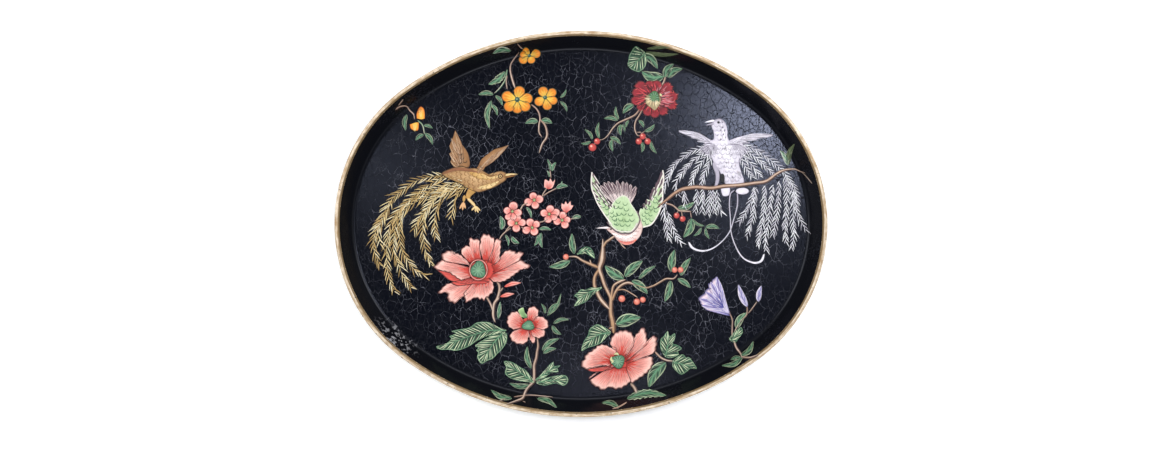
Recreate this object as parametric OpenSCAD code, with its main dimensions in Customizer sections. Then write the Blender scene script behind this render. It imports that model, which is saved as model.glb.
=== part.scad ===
// Oval serving tray of pressed sheet steel, black lacquered, with a gilded rim rolled over a wire
// and a painted well of birds and flower sprays. Millimetres. The tray lies on its flat underside,
// long axis along X, with its origin in the middle of that underside.

/* [Tray] */
// Overall length, over the rolled rim
tray_length = 490; // [440:5:560]
// Overall width, over the rolled rim
tray_width = 384; // [360:2:400]
// Overall height, from the underside to the top of the rim
tray_height = 21; // [18:0.5:26]
// Radius of the two end arcs of the oval
end_radius = 166; // [150:1:175]
// Thickness of the sheet steel
sheet = 0.9; // [0.7:0.1:1.2]
// Slope of the side wall above the horizontal
wall_angle = 60; // [50:1:70]
// Inner radius of the cove between the floor and the side wall
cove_radius = 5; // [3:0.5:8]

/* [Rim] */
// Diameter of the steel wire inside the rolled rim
wire_diameter = 3.4; // [2.5:0.1:4]
// Play between the wire and the sheet rolled round it
wire_play = 0.05; // [0.02:0.01:0.1]
// Thickness of the gilding over the rolled rim
gilding = 0.15; // [0.1:0.05:0.3]
// How much of the roll stays open underneath, beside the wall
roll_gap_angle = 20; // [0:5:60]

/* [Paint] */
// Thickness of the crackled lacquer coat on the floor of the well
lacquer = 0.15; // [0.1:0.05:0.3]
// Thickness of the painted decoration over the lacquer
paint = 0.25; // [0.15:0.05:0.4]
// Width of the bare strip between the decoration and the foot of the side wall
paint_margin = 0.5; // [0.3:0.1:3]

/* [Hidden] */
$fn = 96;

half_length = tray_length / 2;
half_width = tray_width / 2;
// The oval is drawn with four arcs that meet without a corner. The side arcs' radius follows from the rest.
end_centre = half_length - end_radius;
side_radius = (end_centre * end_centre + half_width * half_width - end_radius * end_radius)
    / (2 * (half_width - end_radius));
side_centre = side_radius - half_width;
end_half_angle = atan2(side_centre, end_centre);

wire_radius = wire_diameter / 2;
roll_inner = wire_radius + wire_play;
roll_outer = roll_inner + sheet;
// A section's X runs from the middle of the tray outwards, and is 0 at the edge of the rim.
roll_x = -roll_outer - gilding;
roll_z = tray_height - roll_outer - gilding;
cove_outer = cove_radius + sheet;
cove_z = sheet + cove_radius;
cove_x = roll_x + ((cove_z - roll_z) * cos(wall_angle) - roll_outer - cove_radius) / sin(wall_angle);
lacquer_top = sheet + lacquer;
arc_steps = 18; // Straight steps along each of the oval's four arcs
cove_steps = 3;
roll_steps = 8;
wire_steps = 12;

lacquer_black = [0.05, 0.05, 0.07];
lacquer_grey = [0.10, 0.10, 0.13];
gilt = [0.80, 0.66, 0.42];
leaf_green = [0.30, 0.52, 0.38];
twig_brown = [0.70, 0.56, 0.48];
coral = [0.94, 0.52, 0.44];
old_gold = [0.76, 0.62, 0.38];
silver_white = [0.86, 0.84, 0.88];

// ---- The oval ----

// Places along one arc of the tray's outer edge, each with the outward direction there.
function arc_stations(centre, radius, from_angle, to_angle) = [
    for (i = [0 : arc_steps - 1])
        let (a = from_angle + (to_angle - from_angle) * i / arc_steps, out = [cos(a), sin(a)])
        [centre + radius * out, out]
];

stations = concat(
    arc_stations([end_centre, 0], end_radius, -end_half_angle, end_half_angle),
    arc_stations([0, -side_centre], side_radius, end_half_angle, 180 - end_half_angle),
    arc_stations([-end_centre, 0], end_radius, 180 - end_half_angle, 180 + end_half_angle),
    arc_stations([0, side_centre], side_radius, 180 + end_half_angle, 360 - end_half_angle)
);

// The flat oval that lies inset inside the tray's outer edge.
module oval(inset) {
    polygon([for (s = stations) s[0] - inset * s[1]]);
}

// Points of a section, each [distance outwards from the tray's edge, height].
function section_arc(centre, radius, from_angle, to_angle, steps) = [
    for (i = [0 : steps])
        let (a = from_angle + (to_angle - from_angle) * i / steps)
        centre + radius * [cos(a), sin(a)]
];

// Every point of a section at every station, station by station.
function swept_points(section) = [
    for (s = stations, p = section) [s[0].x + p[0] * s[1].x, s[0].y + p[0] * s[1].y, p[1]]
];

// The faces between one section point and the next, all round the oval.
function swept_faces(count, spans) = [
    for (i = [0 : len(stations) - 1], k = [0 : spans - 1])
        let (here = i * count, there = ((i + 1) % len(stations)) * count, next = (k + 1) % count)
        [here + k, here + next, there + next, there + k]
];

// Sweeps a closed section round the oval, as a ring.
module ring(section) {
    count = len(section);
    polyhedron(swept_points(section), swept_faces(count, count));
}

// Sweeps an open section round the oval, and closes it with a flat face over its first and its last points.
module dish(section) {
    count = len(section);
    rounds = [0 : len(stations) - 1];
    polyhedron(swept_points(section), concat(
        swept_faces(count, count - 1),
        [[for (i = rounds) i * count]],
        [[for (i = rounds) (len(stations) - 1 - i) * count + count - 1]]
    ));
}

// ---- The pressed pan, its wire and its gilding ----

roll_middle = [roll_x, roll_z];
cove_middle = [cove_x, cove_z];
roll_start = wall_angle + 90;
roll_end = wall_angle - 180 + roll_gap_angle;

// Over the well's side, round the roll and back: the pressed sheet's whole surface from the floor out.
module tray_pan() {
    color(lacquer_black) dish(concat(
        section_arc(cove_middle, cove_radius, -90, wall_angle - 90, cove_steps),
        section_arc(roll_middle, roll_outer, roll_start, roll_end, roll_steps),
        section_arc(roll_middle, roll_inner, roll_end, roll_start, roll_steps),
        section_arc(cove_middle, cove_outer, wall_angle - 90, -90, cove_steps)
    ));
}

module rim_wire() {
    color("silver") ring(section_arc(roll_middle, wire_radius, 0, 360 - 360 / wire_steps, wire_steps - 1));
}

module rim_gilding() {
    color(gilt) ring(concat(
        section_arc(roll_middle, roll_outer, roll_end, roll_start, roll_steps),
        section_arc(roll_middle, roll_outer + gilding, roll_start, roll_end, roll_steps)
    ));
}

module crackle_lacquer() {
    color(lacquer_grey) translate([0, 0, sheet]) linear_extrude(lacquer) oval(-cove_x);
}

// ---- Brush strokes, all flat and in the tray's plane ----

// A pointed leaf or petal between two points.
module leaf(from, to, width) {
    reach = norm(to - from);
    bend = (reach * reach + width * width) / (4 * width);
    translate(from) rotate(atan2(to.y - from.y, to.x - from.x)) intersection() {
        translate([reach / 2, bend - width / 2]) circle(bend);
        translate([reach / 2, width / 2 - bend]) circle(bend);
    }
}

// Leaves or petals, each [from, to, width].
module leaves(list) {
    for (l = list) leaf(l[0], l[1], l[2]);
}

// The direction across a path of points at one of them, as a unit vector.
function across(points, i) =
    let (run = points[min(i + 1, len(points) - 1)] - points[max(i - 1, 0)])
    [-run.y, run.x] / norm(run);

// A stroke of even width through a path of points, with square ends.
module stroke(points, width) {
    last = len(points) - 1;
    polygon(concat(
        [for (i = [0 : last]) points[i] + across(points, i) * width / 2],
        [for (i = [last : -1 : 0]) points[i] - across(points, i) * width / 2]
    ));
}

// Round dabs of the brush, each [x, y, radius].
module dabs(list) {
    for (d = list) translate([d[0], d[1]]) circle(d[2]);
}

// Spreads a flat shape as paint over the lacquered floor. Nothing reaches the foot of the side wall.
module painted() {
    translate([0, 0, lacquer_top]) linear_extrude(paint) intersection() {
        oval(paint_margin - cove_x);
        children();
    }
}

// ---- The bird with gold plumes, at the left ----

module gold_bird_body_shape() {
    leaf([-70, 50], [-128, 50], 24);
    dabs([[-82, 48, 6], [-96, 43, 10]]);
    stroke([[-106, 38], [-116, 28], [-107, 19], [-104, 13]], 3);
    stroke([[-116, 30], [-119, 20]], 3);
    leaf([-79, 50], [-64, 49], 5);
}

module gold_bird_wings_shape() {
    leaves([[[-121, 55], [-126, 94], 18], [[-106, 52], [-73, 79], 10]]);
}

module gold_bird_plumes_shape() {
    stroke([[-124, 46], [-153, 46], [-178, 35], [-196, 15], [-206, -7], [-209, -19], [-202, -40]], 6);
    stroke([[-124, 42], [-153, 38], [-180, 17], [-193, -6], [-195, -35], [-188, -65]], 6);
    stroke([[-150, 33], [-182, 14], [-188, -15], [-183, -41], [-171, -63]], 5);
    stroke([[-150, 30], [-180, 8], [-182, -17], [-172, -40], [-158, -51]], 5);
    stroke([[-124, 38], [-145, 28], [-157, 9], [-159, -10], [-151, -39]], 6);
    stroke([[-122, 36], [-139, 27], [-147, 5], [-146, -12]], 5);
    stroke([[-120, 34], [-128, 18], [-130, 8]], 4);
}

module gold_bird_body() {
    color(old_gold) painted() gold_bird_body_shape();
}

module gold_bird_wings() {
    color(old_gold) painted() difference() {
        gold_bird_wings_shape();
        gold_bird_body_shape();
    }
}

module gold_bird_plumes() {
    color(old_gold) painted() difference() {
        gold_bird_plumes_shape();
        gold_bird_body_shape();
        gold_bird_wings_shape();
    }
}

// ---- The bird with silver plumes, at the right ----

module silver_bird_body_shape() {
    leaf([140, 104], [141, 70], 16);
    leaf([146, 96], [153, 38], 32);
    dabs([[139, 99, 6]]);
    leaf([136, 102], [124, 101], 4);
}

module silver_bird_wings_shape() {
    leaves([[[136, 80], [98, 93], 9], [[146, 80], [193, 89], 9]]);
}

module silver_bird_plumes_shape() {
    for (fan = [0 : 3]) {
        stroke([[128 + fan, 76 - 3 * fan], [112 + 4 * fan, 70 - 4 * fan], [95 + 7 * fan, 55 - 3 * fan],
            [83 + 12 * fan, 34]], 3.5);
        stroke([[160 - fan, 79 - 3 * fan], [178 - 3 * fan, 72 - 6 * fan],
            [200 - 8 * fan, 55 - 3 * fan]], 3.5);
    }
    for (fan = [0 : 2]) stroke([[117 + 10 * fan, 34], [116 + 11 * fan, 22], [115 + 12 * fan, 12]], 3.5);
    stroke([[83, 14], [88, -14]], 3.5);
    stroke([[87, 10], [100, -18]], 3.5);
    stroke([[200, 55], [215, 36], [216, 17], [213, -6]], 4);
    stroke([[204, 44], [207, 10], [205, -17]], 4);
    stroke([[193, 37], [188, 1], [186, -25]], 4);
    stroke([[185, 37], [184, 19], [178, -20]], 4);
    stroke([[175, 36], [174, 17], [167, -10]], 4);
    stroke([[199, 42], [196, 6], [193, -9]], 3);
}

module silver_bird_ribbons_shape() {
    stroke([[153, 33], [148, 19], [151, -10], [164, -35], [181, -37], [184, -30]], 2.5);
    stroke([[157, 31], [157, 19], [149, -8], [131, -25], [112, -24], [108, -18]], 2.5);
}

module silver_bird_body() {
    color(silver_white) painted() silver_bird_body_shape();
}

module silver_bird_wings() {
    color(silver_white) painted() difference() {
        silver_bird_wings_shape();
        silver_bird_body_shape();
    }
}

module silver_bird_plumes() {
    color(silver_white) painted() difference() {
        silver_bird_plumes_shape();
        silver_bird_body_shape();
        silver_bird_wings_shape();
        perch_branch_shape();
    }
}

module silver_bird_ribbons() {
    color(silver_white) painted() difference() {
        silver_bird_ribbons_shape();
        silver_bird_body_shape();
        silver_bird_plumes_shape();
        perch_branch_shape();
    }
}

// ---- The green bird, in the middle ----

module green_bird_body_shape() {
    leaf([22, -4], [63, 3], 22);
    leaf([32, -13], [63, -6], 15);
    leaf([27, -4], [15, -4], 4);
}

module green_bird_wings_shape() {
    leaf([32, 0], [11, 51], 15);
    leaf([60, 0], [82, 54], 21);
}

module green_bird_tail_shape() {
    leaves([for (i = [0 : 5]) [[42 + i, 4], [19 + 7 * i, 38 + 2 * sin(36 * i)], 9]]);
}

module green_bird_body() {
    color([0.62, 0.74, 0.60]) painted() green_bird_body_shape();
}

module green_bird_wings() {
    color([0.58, 0.70, 0.58]) painted() difference() {
        green_bird_wings_shape();
        green_bird_body_shape();
    }
}

module green_bird_tail() {
    color([0.72, 0.64, 0.62]) painted() difference() {
        green_bird_tail_shape();
        green_bird_wings_shape();
        green_bird_body_shape();
    }
}

// ---- The yellow sprays, at the top left ----

module yellow_blossoms_shape() {
    dabs([
        [-62, 133, 6], [-54, 126, 6], [-56, 118, 6], [-64, 116, 6], [-72, 119, 6], [-73, 128, 7], [-64, 125, 5],
        [-38, 133, 5], [-29, 132, 4], [-28, 124, 4], [-34, 118, 4], [-42, 123, 5], [-35, 127, 5],
        [-46, 168, 4], [-55, 164, 4], [-51, 166, 4]
    ]);
}

module yellow_buds_shape() {
    leaf([-161, 104], [-160, 119], 9);
    dabs([[-167, 98, 4.5]]);
}

module yellow_leaves_shape() {
    leaves([
        [[-75, 153], [-93, 141], 9], [[-88, 130], [-103, 130], 5], [[-86, 129], [-79, 119], 4],
        [[-90, 124], [-92, 96], 6], [[-90, 120], [-84, 109], 4], [[-43, 103], [-56, 101], 6],
        [[-40, 104], [-29, 101], 6], [[-21, 127], [-15, 135], 3], [[-21, 123], [-14, 113], 4],
        [[-175, 110], [-176, 94], 5], [[-158, 99], [-149, 96], 4], [[-158, 90], [-166, 84], 5],
        [[-157, 91], [-149, 80], 5]
    ]);
}

module yellow_twigs_shape() {
    stroke([[-63, 171], [-70, 161], [-70, 149], [-66, 137]], 2.5);
    stroke([[-73, 155], [-76, 145], [-87, 131]], 1.5);
    stroke([[-50, 120], [-42, 111], [-42, 92], [-39, 87]], 2.5);
    stroke([[-42, 108], [-36, 99], [-34, 87], [-42, 71]], 2.5);
    stroke([[-184, 114], [-175, 118], [-168, 110], [-164, 104], [-157, 90]], 1.5);
}

module yellow_blossoms() {
    color([0.93, 0.84, 0.48]) painted() yellow_blossoms_shape();
}

module yellow_buds() {
    color([0.90, 0.84, 0.60]) painted() yellow_buds_shape();
}

module yellow_leaves() {
    color(leaf_green) painted() difference() {
        yellow_leaves_shape();
        yellow_blossoms_shape();
    }
}

module yellow_twigs() {
    color(twig_brown) painted() difference() {
        yellow_twigs_shape();
        yellow_leaves_shape();
        yellow_blossoms_shape();
        yellow_buds_shape();
    }
}

// ---- The crimson rose, at the top ----

module crimson_rose_shape() {
    for (i = [0 : 9]) translate([73, 125] + 14 * [cos(36 * i), 0.85 * sin(36 * i)]) circle(6);
    translate([73, 125]) circle(12);
}

module crimson_heart_shape() {
    dabs([[73, 126, 6]]);
}

module crimson_berries_shape() {
    dabs([[62, 88, 3], [58, 83, 3], [67, 83, 3], [16, 83, 3], [12, 77, 4]]);
}

module crimson_leaves_shape() {
    leaves([
        [[55, 154], [50, 170], 12], [[61, 168], [77, 156], 8], [[83, 148], [61, 153], 12],
        [[84, 147], [92, 158], 7], [[87, 147], [100, 153], 7], [[53, 120], [42, 111], 7],
        [[38, 105], [35, 117], 3.5], [[37, 104], [23, 106], 4.5], [[18, 86], [18, 102], 4],
        [[12, 85], [4, 95], 3.5], [[10, 83], [0, 81], 3], [[40, 100], [40, 89], 5],
        [[47, 104], [45, 97], 3], [[29, 87], [40, 80], 4.5], [[31, 85], [32, 73], 4.5],
        [[58, 104], [63, 97], 4], [[64, 93], [74, 100], 4.5], [[61, 81], [61, 72], 4], [[70, 83], [76, 71], 4]
    ]);
}

module crimson_twigs_shape() {
    stroke([[85, 146], [80, 139]], 2.5);
    stroke([[59, 115], [50, 107], [37, 101], [28, 90], [20, 84]], 2);
    stroke([[62, 115], [55, 103], [54, 96], [58, 88]], 1.8);
}

module crimson_rose() {
    color([0.62, 0.18, 0.16]) painted() difference() {
        crimson_rose_shape();
        crimson_heart_shape();
    }
}

module crimson_berries() {
    color([0.72, 0.20, 0.16]) painted() crimson_berries_shape();
}

module crimson_leaves() {
    color(leaf_green) painted() difference() {
        crimson_leaves_shape();
        crimson_rose_shape();
        crimson_berries_shape();
    }
}

module crimson_twigs() {
    color(twig_brown) painted() difference() {
        crimson_twigs_shape();
        crimson_leaves_shape();
        crimson_rose_shape();
        crimson_berries_shape();
    }
}

// ---- The pink blossoms, left of the middle ----

module pink_blossoms_shape() {
    for (flower = [[-47, 24], [-69, 12], [-65, 1], [-49, -3], [-32, 10], [-19, 4]]) {
        translate(flower) for (i = [0 : 3]) translate(5 * [cos(90 * i + 20), sin(90 * i + 20)]) circle(3.8);
        translate(flower) circle(3);
    }
    leaf([-34, 36], [-29, 45], 9);
    leaf([-16, 11], [-12, 23], 9);
}

module pink_leaves_shape() {
    leaves([
        [[-31, 54], [-34, 65], 2.5], [[-29, 53], [-25, 62], 4], [[-25, 35], [-13, 38], 5],
        [[-55, 17], [-50, 6], 3], [[-79, -6], [-81, 8], 6], [[-75, -11], [-73, -22], 2.5],
        [[-70, -13], [-62, -19], 5], [[-42, -5], [-30, -6], 4], [[-40, -9], [-39, -24], 5],
        [[-43, -11], [-47, -22], 4], [[0, 7], [-10, 5], 4.5]
    ]);
}

module pink_twigs_shape() {
    stroke([[-57, 19], [-61, 13]], 2);
    stroke([[-70, -4], [-80, -12], [-82, -17]], 2);
    stroke([[-43, 1], [-37, 3]], 1.5);
    stroke([[-40, 27], [-38, 31], [-26, 35]], 1.5);
    stroke([[-30, 45], [-31, 55]], 1.5);
}

module pink_blossoms() {
    color([0.93, 0.74, 0.72]) painted() pink_blossoms_shape();
}

module pink_leaves() {
    color(leaf_green) painted() difference() {
        pink_leaves_shape();
        pink_blossoms_shape();
    }
}

module pink_twigs() {
    color(twig_brown) painted() difference() {
        pink_twigs_shape();
        pink_leaves_shape();
        pink_blossoms_shape();
    }
}

// ---- The big coral peony, at the left ----

module coral_peony_shape() {
    leaves([
        [[-115, -40], [-141, -32], 14], [[-118, -52], [-148, -43], 12], [[-114, -58], [-144, -48], 7],
        [[-105, -40], [-112, -13], 16], [[-95, -38], [-94, -10], 15], [[-86, -38], [-83, -15], 9],
        [[-84, -46], [-59, -29], 17], [[-88, -54], [-51, -41], 14], [[-112, -58], [-143, -70], 14],
        [[-106, -57], [-128, -80], 13], [[-101, -56], [-113, -79], 14], [[-95, -57], [-97, -77], 15],
        [[-77, -63], [-60, -58], 5], [[-81, -73], [-67, -70], 4.5]
    ]);
    translate([-103, -48]) circle(15);
}

module coral_leaves_shape() {
    leaves([
        [[-83, -95], [-81, -78], 4], [[-75, -107], [-145, -121], 24], [[-80, -110], [-101, -139], 22]
    ]);
}

module coral_stem_shape() {
    stroke([[-82, -60], [-82, -68], [-87, -80], [-87, -99]], 3.5);
    stroke([[-95, -72], [-91, -80], [-88, -88]], 3);
}

module coral_peony() {
    color(coral) painted() difference() {
        coral_peony_shape();
        translate([-103, -46]) circle(8);
    }
}

module coral_leaves() {
    color(leaf_green) painted() coral_leaves_shape();
}

module coral_stem() {
    color(twig_brown) painted() difference() {
        coral_stem_shape();
        coral_peony_shape();
        coral_leaves_shape();
    }
}

// ---- The small poppy, at the bottom ----

module small_poppy_shape() {
    dabs([
        [-49, -89, 6], [-40, -99, 6], [-43, -110, 5], [-49, -112, 3],
        [-67, -97, 7], [-60, -113, 6], [-66, -113, 5]
    ]);
    translate([-53, -102]) circle(9);
}

module small_poppy_leaves_shape() {
    leaves([
        [[-50, -145], [-54, -123], 6], [[-39, -127], [-22, -115], 6], [[-38, -131], [-25, -125], 5],
        [[-47, -159], [-76, -142], 16], [[-51, -162], [-72, -160], 6], [[-46, -157], [-23, -142], 12],
        [[-44, -159], [-17, -157], 8], [[-34, -92], [-20, -71], 3], [[-33, -91], [-22, -79], 4],
        [[-36, -90], [-40, -80], 2.5], [[-28, -100], [-12, -96], 4], [[-29, -102], [-20, -111], 5],
        [[-62, -86], [-55, -96], 5]
    ]);
}

module small_poppy_stem_shape() {
    stroke([[-45, -117], [-44, -128], [-47, -142], [-47, -156], [-53, -164]], 3.5);
}

module small_poppy() {
    color(coral) painted() difference() {
        small_poppy_shape();
        translate([-53, -102]) circle(6);
    }
}

module small_poppy_leaves() {
    color(leaf_green) painted() difference() {
        small_poppy_leaves_shape();
        small_poppy_shape();
    }
}

module small_poppy_stem() {
    color(twig_brown) painted() difference() {
        small_poppy_stem_shape();
        small_poppy_leaves_shape();
        small_poppy_shape();
    }
}

// ---- The pale peony, at the bottom right ----

module pale_peony_shape() {
    leaves([
        [[41, -132], [42, -107], 24], [[50, -134], [60, -104], 14], [[51, -139], [75, -113], 13],
        [[32, -138], [8, -130], 20], [[30, -146], [0, -142], 14], [[32, -146], [8, -155], 14],
        [[38, -144], [30, -165], 24], [[45, -146], [50, -162], 14], [[48, -142], [71, -139], 18]
    ]);
    translate([37, -138]) circle(14);
}

module pale_peony_leaves_shape() {
    leaves([
        [[83, -131], [87, -108], 17], [[88, -134], [100, -126], 8], [[92, -138], [115, -145], 14],
        [[85, -139], [69, -162], 13]
    ]);
}

module pale_peony_stems_shape() {
    stroke([[50, -160], [55, -166]], 4);
    stroke([[74, -128], [80, -134], [93, -138]], 2.5);
}

module pale_peony() {
    color([0.94, 0.78, 0.74]) painted() difference() {
        pale_peony_shape();
        translate([37, -138]) circle(7.5);
    }
}

module pale_peony_leaves() {
    color(leaf_green) painted() pale_peony_leaves_shape();
}

module pale_peony_stems() {
    color(twig_brown) painted() difference() {
        pale_peony_stems_shape();
        pale_peony_leaves_shape();
        pale_peony_shape();
    }
}

// The green hearts of the four open flowers.
module flower_hearts() {
    color([0.36, 0.66, 0.52]) painted() {
        crimson_heart_shape();
        dabs([[-103, -46, 8], [-53, -102, 6], [37, -138, 7.5]]);
    }
}

// ---- The tree under the green bird ----

module tree_branches_shape() {
    stroke([[33, -110], [30, -90], [30, -75], [24, -62], [18, -45], [22, -27], [22, -18]], 5);
    stroke([[22, -22], [28, -16], [33, -13]], 3);
    stroke([[18, -44], [2, -37], [-5, -33], [-14, -33]], 2.5);
    stroke([[17, -47], [13, -61], [20, -76], [28, -85]], 4);
    stroke([[31, -70], [33, -62], [39, -58]], 3.5);
    stroke([[35, -67], [47, -59], [53, -61]], 3);
    stroke([[35, -67], [51, -70], [57, -74]], 1.5);
    stroke([[65, -63], [80, -58], [93, -55], [97, -51]], 2);
}

module tree_berries_shape() {
    dabs([[41, -75, 3.5], [56, -78, 3], [62, -75, 3], [94, -46, 3], [100, -45, 3], [-15, -33, 3]]);
}

module tree_leaves_shape() {
    leaves([
        [[-6, -30], [-9, -10], 7], [[-4, -31], [13, -31], 8], [[-11, -37], [-32, -43], 8],
        [[43, -55], [24, -42], 11], [[44, -53], [62, -37], 10], [[58, -55], [75, -42], 5],
        [[51, -57], [67, -70], 9], [[91, -48], [94, -26], 9], [[100, -52], [109, -34], 7],
        [[97, -55], [110, -64], 6], [[90, -57], [84, -78], 8], [[21, -65], [-6, -73], 13],
        [[21, -67], [-6, -81], 11], [[35, -101], [60, -94], 14], [[30, -109], [1, -126], 13]
    ]);
}

module tree_branches() {
    color(twig_brown) painted() difference() {
        tree_branches_shape();
        tree_leaves_shape();
        tree_berries_shape();
        green_bird_body_shape();
        pale_peony_shape();
    }
}

module tree_berries() {
    color([0.72, 0.20, 0.16]) painted() difference() {
        tree_berries_shape();
        tree_leaves_shape();
    }
}

module tree_leaves() {
    color(leaf_green) painted() difference() {
        tree_leaves_shape();
        pale_peony_shape();
    }
}

// ---- The branch that the silver bird sits on ----

module perch_branch_shape() {
    stroke([[84, 23], [101, 35], [116, 37], [130, 36], [159, 39], [186, 43], [203, 54], [224, 52]], 3);
    stroke([[85, 20], [97, 15], [110, 12]], 2);
}

module perch_leaves_shape() {
    leaves([[[97, 16], [114, 22], 6], [[110, 4], [103, -13], 9], [[125, -3], [139, -4], 5],
        [[125, -5], [129, -15], 3], [[208, 60], [200, 73], 6], [[209, 60], [213, 78], 6]]);
}

module perch_branch() {
    color(twig_brown) painted() difference() {
        perch_branch_shape();
        silver_bird_body_shape();
        green_bird_wings_shape();
    }
}

module perch_leaves() {
    color(leaf_green) painted() difference() {
        perch_leaves_shape();
        silver_bird_plumes_shape();
        silver_bird_ribbons_shape();
        perch_branch_shape();
    }
}

module perch_berries() {
    color([0.72, 0.20, 0.16]) painted() difference() {
        dabs([[96, 8.5, 3], [101, 5, 3]]);
        silver_bird_plumes_shape();
    }
}

// ---- The bellflowers, at the right ----

module bellflower_shape() {
    leaves([
        [[148, -89], [118, -76], 18], [[148, -88], [127, -61], 16], [[147, -86], [136, -53], 14],
        [[167, -83], [158, -62], 7], [[178, -77], [181, -62], 6]
    ]);
}

module bellflower_leaves_shape() {
    leaves([
        [[156, -105], [166, -89], 8], [[150, -114], [161, -104], 9], [[160, -131], [172, -119], 5],
        [[161, -133], [145, -140], 5]
    ]);
}

module bellflower_stems_shape() {
    stroke([[149, -86], [152, -104], [154, -118], [161, -133]], 2);
    stroke([[167, -84], [167, -90], [161, -97], [153, -106]], 2);
    stroke([[177, -78], [168, -90]], 2);
}

module bellflowers() {
    color([0.78, 0.74, 0.86]) painted() bellflower_shape();
}

module bellflower_leaves() {
    color(leaf_green) painted() bellflower_leaves_shape();
}

module bellflower_stems() {
    color(twig_brown) painted() difference() {
        bellflower_stems_shape();
        bellflower_leaves_shape();
        bellflower_shape();
    }
}

tray_pan();
rim_wire();
rim_gilding();
crackle_lacquer();
gold_bird_body();
gold_bird_wings();
gold_bird_plumes();
silver_bird_body();
silver_bird_wings();
silver_bird_plumes();
silver_bird_ribbons();
green_bird_body();
green_bird_wings();
green_bird_tail();
yellow_blossoms();
yellow_buds();
yellow_leaves();
yellow_twigs();
crimson_rose();
crimson_berries();
crimson_leaves();
crimson_twigs();
pink_blossoms();
pink_leaves();
pink_twigs();
coral_peony();
coral_leaves();
coral_stem();
small_poppy();
small_poppy_leaves();
small_poppy_stem();
pale_peony();
pale_peony_leaves();
pale_peony_stems();
flower_hearts();
tree_branches();
tree_berries();
tree_leaves();
perch_branch();
perch_leaves();
perch_berries();
bellflowers();
bellflower_leaves();
bellflower_stems();
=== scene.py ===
import math
import random

import bmesh
import bpy
import mathutils
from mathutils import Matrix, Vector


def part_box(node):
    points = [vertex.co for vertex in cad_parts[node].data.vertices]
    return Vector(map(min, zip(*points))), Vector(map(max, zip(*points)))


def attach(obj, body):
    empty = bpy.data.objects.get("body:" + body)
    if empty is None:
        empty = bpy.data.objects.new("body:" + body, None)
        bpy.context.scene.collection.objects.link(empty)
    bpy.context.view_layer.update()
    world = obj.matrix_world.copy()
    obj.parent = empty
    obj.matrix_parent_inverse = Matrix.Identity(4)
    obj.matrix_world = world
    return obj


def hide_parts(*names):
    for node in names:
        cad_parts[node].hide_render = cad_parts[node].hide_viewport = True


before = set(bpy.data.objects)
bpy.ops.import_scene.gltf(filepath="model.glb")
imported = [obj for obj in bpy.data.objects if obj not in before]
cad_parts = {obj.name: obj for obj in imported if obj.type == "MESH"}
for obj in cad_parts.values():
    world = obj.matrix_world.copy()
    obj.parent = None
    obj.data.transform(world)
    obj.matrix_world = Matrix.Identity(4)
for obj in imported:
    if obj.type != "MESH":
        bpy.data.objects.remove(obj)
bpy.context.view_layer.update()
mm = 0.001
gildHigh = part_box("rim_gilding")[1]
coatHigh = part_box("crackle_lacquer")[1]
halfLength = gildHigh[0] / mm
halfWidth = gildHigh[1] / mm
rimTop = gildHigh[2] / mm
floorTop = coatHigh[2] / mm
floorHalfLength = coatHigh[0] / mm
print("frame loaded, tray", round(2 * halfLength), "x", round(2 * halfWidth), "mm")

# the oval: four arcs, the same construction as the frame's
oval = {"endRadius": 166.0, "stationsPerArc": 72}
endCentre = halfLength - oval["endRadius"]
sideRadius = (endCentre**2 + halfWidth**2 - oval["endRadius"] ** 2) / (2 * (halfWidth - oval["endRadius"]))
sideCentre = sideRadius - halfWidth
endHalfAngle = math.atan2(sideCentre, endCentre)

pan = {
    "sheet": 0.9,
    "wallAngle": math.radians(60),
    "coveRadius": 5.0,
    "wireRadius": 1.7,
    "wirePlay": 0.05,
    "gilding": 0.15,
    "rollGap": math.radians(20),
    "rollSteps": 22,
    "coveSteps": 9,
    "wireSteps": 14,
}
rollInner = pan["wireRadius"] + pan["wirePlay"]
rollOuter = rollInner + pan["sheet"]
rollMiddle = (-rollOuter - pan["gilding"], rimTop - rollOuter - pan["gilding"])
coveMiddle = (floorHalfLength - halfLength, pan["sheet"] + pan["coveRadius"])


def stations():  # points round the outer edge, each with its way out
    count = oval["stationsPerArc"]
    arcs = [
        ((endCentre, 0), oval["endRadius"], -endHalfAngle, endHalfAngle),
        ((0, -sideCentre), sideRadius, endHalfAngle, math.pi - endHalfAngle),
        ((-endCentre, 0), oval["endRadius"], math.pi - endHalfAngle, math.pi + endHalfAngle),
        ((0, sideCentre), sideRadius, math.pi + endHalfAngle, 2 * math.pi - endHalfAngle),
    ]
    places = []
    for (centreX, centreY), radius, start, end in arcs:
        for step in range(count):
            angle = start + (end - start) * step / count
            out = (math.cos(angle), math.sin(angle))
            places.append((centreX + radius * out[0], centreY + radius * out[1], out[0], out[1]))
    return places


def insetAt(x, y):  # how far a point lies inside the rim's outer edge, and the way out from there
    px, py = abs(x), abs(y)
    if math.atan2(py, px - endCentre) < endHalfAngle:
        reach = math.hypot(px - endCentre, py)
        inset, out = oval["endRadius"] - reach, ((px - endCentre) / reach, py / reach)
    else:
        reach = math.hypot(px, py + sideCentre)
        inset, out = sideRadius - reach, (px / reach, (py + sideCentre) / reach)
    return inset, math.copysign(out[0], x), math.copysign(out[1], y)


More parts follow.
